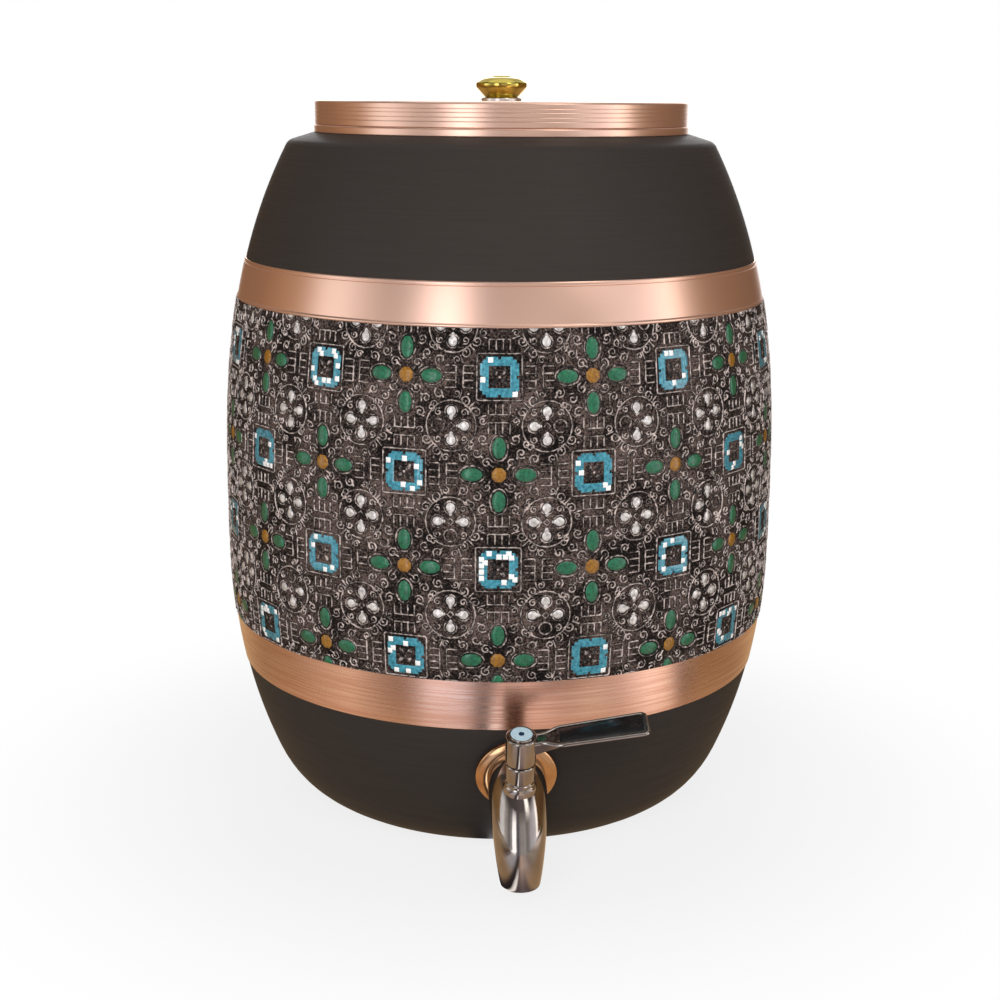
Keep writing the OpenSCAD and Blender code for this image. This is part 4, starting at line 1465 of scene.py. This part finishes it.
@dataclass(frozen=True)
class Studio:
    """Camera, floor and soft light round the part."""

    camera_out: float = 700.0
    camera_z: float = 295.2
    azimuth_deg: float = -3.9
    pitch_deg: float = 13.66
    yaw_deg: float = -0.045
    roll_deg: float = 0.4
    lens: float = 60.12
    ambient: float = 0.21
    tent_r: float = 1500.0
    tent_top: float = 2600.0
    tent_foot_r: float = 62.0
    tent_level: float = 3.3

    def build(self) -> None:
        """Sets up the whole studio."""
        scene = bpy.context.scene
        scene.view_settings.view_transform = "Standard"
        self.build_camera(scene)
        self.build_world(scene)
        self.build_floor()
        self.build_tent()
        self.add_lamp("key_softbox", (-500.0, -1650.0, 1000.0), 1100.0, 27.0)
        self.add_lamp("fill_softbox", (700.0, -1600.0, 900.0), 1100.0, 12.0)
        self.add_lamp("rear_softbox", (200.0, 1750.0, 1000.0), 1100.0, 15.0)

    def build_camera(self, scene: bpy.types.Scene) -> None:
        """Adds the camera at the photograph's angle.

        Args:
            scene: Scene that looks through it.
        """
        data = bpy.data.cameras.new("camera")
        data.lens = self.lens
        data.sensor_width = 36.0
        camera = bpy.data.objects.new("camera", data)
        turn = math.radians(self.azimuth_deg)
        out = self.camera_out
        spot = Vector((math.sin(turn) * out, -math.cos(turn) * out, self.camera_z)) * MM
        look = (Matrix.Rotation(turn + math.radians(self.yaw_deg), 4, "Z")
                @ Matrix.Rotation(math.radians(90.0 - self.pitch_deg), 4, "X")
                @ Matrix.Rotation(math.radians(self.roll_deg), 4, "Z"))
        camera.matrix_world = Matrix.Translation(spot) @ look
        scene.collection.objects.link(camera)
        scene.camera = camera

    def seen(self, tree: Tree) -> Socket:
        """Adds a switch for what camera, metal and glass see.

        Args:
            tree: Node tree that takes it.

        Returns:
            A socket that is 1 for such rays.
        """
        path = add_node(tree, "ShaderNodeLightPath").outputs
        first = add_node(tree, "ShaderNodeMath", {0: path["Is Camera Ray"], 1: path["Is Glossy Ray"]},
                         operation="MAXIMUM").outputs[0]
        return add_node(tree, "ShaderNodeMath", {0: first, 1: path["Is Transmission Ray"]},
                        operation="MAXIMUM").outputs[0]

    def build_world(self, scene: bpy.types.Scene) -> None:
        """Makes a white world that lights softly.

        Args:
            scene: Scene that takes it.
        """
        world = bpy.data.worlds.new("white_studio")
        world.use_nodes = True
        tree = world.node_tree
        level = add_node(tree, "ShaderNodeMapRange", {0: self.seen(tree), 3: self.ambient, 4: 1.0}).outputs[0]
        back = tree.nodes["Background"]
        back.inputs["Color"].default_value = linear("#ffffff")
        tree.links.new(level, back.inputs["Strength"])
        scene.world = world

    def build_floor(self) -> None:
        """Makes a white floor, pure white away from the part and a little darker round it: a painted shadow, with the
        real shadow showing through.
        """
        mesh = bpy.data.meshes.new("floor")
        half = 4.0
        mesh.from_pydata([(-half, -half, 0), (half, -half, 0), (half, half, 0), (-half, half, 0)], [], [(0, 1, 2, 3)])
        material = bpy.data.materials.new("white_paper_floor")
        material.use_nodes = True
        tree = material.node_tree
        paper = tree.nodes["Principled BSDF"]
        paper.inputs["Base Color"].default_value = linear("#c0c0c0")
        paper.inputs["Roughness"].default_value = 0.9
        paper.inputs["Specular IOR Level"].default_value = 0.1
        place = add_node(tree, "ShaderNodeTexCoord").outputs["Object"]
        far = add_node(tree, "ShaderNodeVectorMath", {0: place}, operation="LENGTH").outputs["Value"]
        # Less white glow near the part darkens the floor round it: a painted shadow.
        painted_shadow_white_share = add_node(tree, "ShaderNodeMapRange", {0: far, 1: 0.1, 2: 0.26, 3: 0.82, 4: 1.0},
                        interpolation_type="SMOOTHSTEP").outputs[0]
        part = add_node(tree, "ShaderNodeMath", {0: painted_shadow_white_share, 1: self.seen(tree)}, operation="MULTIPLY").outputs[0]
        white = add_node(tree, "ShaderNodeEmission", {"Color": linear("#ffffff")}).outputs[0]
        mixed = add_node(tree, "ShaderNodeMixShader", {0: part, 1: paper.outputs[0], 2: white}).outputs[0]
        tree.links.new(mixed, tree.nodes["Material Output"].inputs["Surface"])
        mesh.materials.append(material)
        floor = bpy.data.objects.new("floor", mesh)
        bpy.context.scene.collection.objects.link(floor)

    def build_tent(self) -> None:
        """Hangs grey and white panels round the part that only its gloss can see."""
        count = 96
        turns = [2 * math.pi * k / count for k in range(count)]
        levels = ((self.tent_foot_r, 1.0), (self.tent_r, 1.0), (self.tent_r, self.tent_top))
        spots = [(math.sin(a) * r * MM, -math.cos(a) * r * MM, z * MM) for r, z in levels for a in turns]
        faces = [(row * count + (k + 1) % count, row * count + k, (row + 1) * count + k,
                  (row + 1) * count + (k + 1) % count) for row in range(len(levels) - 1) for k in range(count)]
        mesh = bpy.data.meshes.new("light_tent")
        mesh.from_pydata(spots, [], faces)
        material = bpy.data.materials.new("light_tent_panels")
        material.use_nodes = True
        tree = material.node_tree
        place = add_node(tree, "ShaderNodeTexCoord").outputs["Object"]
        parts = add_node(tree, "ShaderNodeSeparateXYZ", {0: place}).outputs
        front = add_node(tree, "ShaderNodeMath", {0: parts["Y"], 1: -1.0}, operation="MULTIPLY").outputs[0]
        angle = add_node(tree, "ShaderNodeMath", {0: parts["X"], 1: front}, operation="ARCTAN2").outputs[0]
        turn = add_node(tree, "ShaderNodeMapRange", {0: angle, 1: -math.pi, 2: math.pi}).outputs[0]
        tones = []
        for panels in (NEAR_PANELS, FLOOR_PANELS, WALL_PANELS, ROOF_PANELS):
            ramp = add_node(tree, "ShaderNodeValToRGB", {0: turn})
            stops = ramp.color_ramp.elements
            for index, (degrees, tone) in enumerate(panels):
                stop = stops[index] if index < 2 else stops.new(1.0)
                stop.position = (degrees + 180) / 360
                stop.color = linear(tone)
            tones.append(ramp.outputs["Color"])
        level = add_node(tree, "ShaderNodeCombineXYZ", {"X": parts["X"], "Y": parts["Y"]}).outputs[0]
        far = add_node(tree, "ShaderNodeVectorMath", {0: level}, operation="LENGTH").outputs["Value"]
        shares = [add_node(tree, "ShaderNodeMapRange", {0: place, 1: start, 2: end}).outputs[0]
                  for place, start, end in ((far, 0.15, 0.21), (far, 0.35, 0.6), (parts["Z"], 0.7, 1.2))]
        tone = tones[0]
        for share, panel in zip(shares, tones[1:]):
            tone = add_node(tree, "ShaderNodeMix", {0: share, 6: tone, 7: panel}, data_type="RGBA").outputs[2]
        glow = add_node(tree, "ShaderNodeEmission", {"Color": tone, "Strength": self.tent_level}).outputs[0]
        tree.links.new(glow, tree.nodes["Material Output"].inputs["Surface"])
        tree.nodes.remove(tree.nodes["Principled BSDF"])
        mesh.materials.append(material)
        tent = bpy.data.objects.new("light_tent", mesh)
        tent.rotation_euler.z = math.radians(self.azimuth_deg)
        tent.visible_camera = False
        tent.visible_diffuse = False
        tent.visible_shadow = False
        bpy.context.scene.collection.objects.link(tent)

    def add_lamp(self, name: str, spot: tuple[float, float, float], size: float, watts: float) -> None:
        """Adds a soft lamp aimed at the middle of the part.

        Args:
            name: Name of the lamp.
            spot: Its place.
            size: Width of its square.
            watts: Its power.
        """
        data = bpy.data.lights.new(name, "AREA")
        data.size = size * MM
        data.energy = watts
        lamp = bpy.data.objects.new(name, data)
        lamp.location = Vector(spot) * MM
        aim = Vector((0.0, 0.0, 0.15)) - lamp.location
        lamp.rotation_euler = aim.to_track_quat("-Z", "Y").to_euler()
        lamp.visible_glossy = False
        bpy.context.scene.collection.objects.link(lamp)


def main() -> None:
    """Builds the part round its solids."""
    logging.basicConfig(level=logging.INFO, format="%(name)s: %(message)s")
    for section in (Studio(), Vessel(), Belt(), Lid(), Tap(), Lever()):
        section.build()


if __name__ == "__main__":
    main()
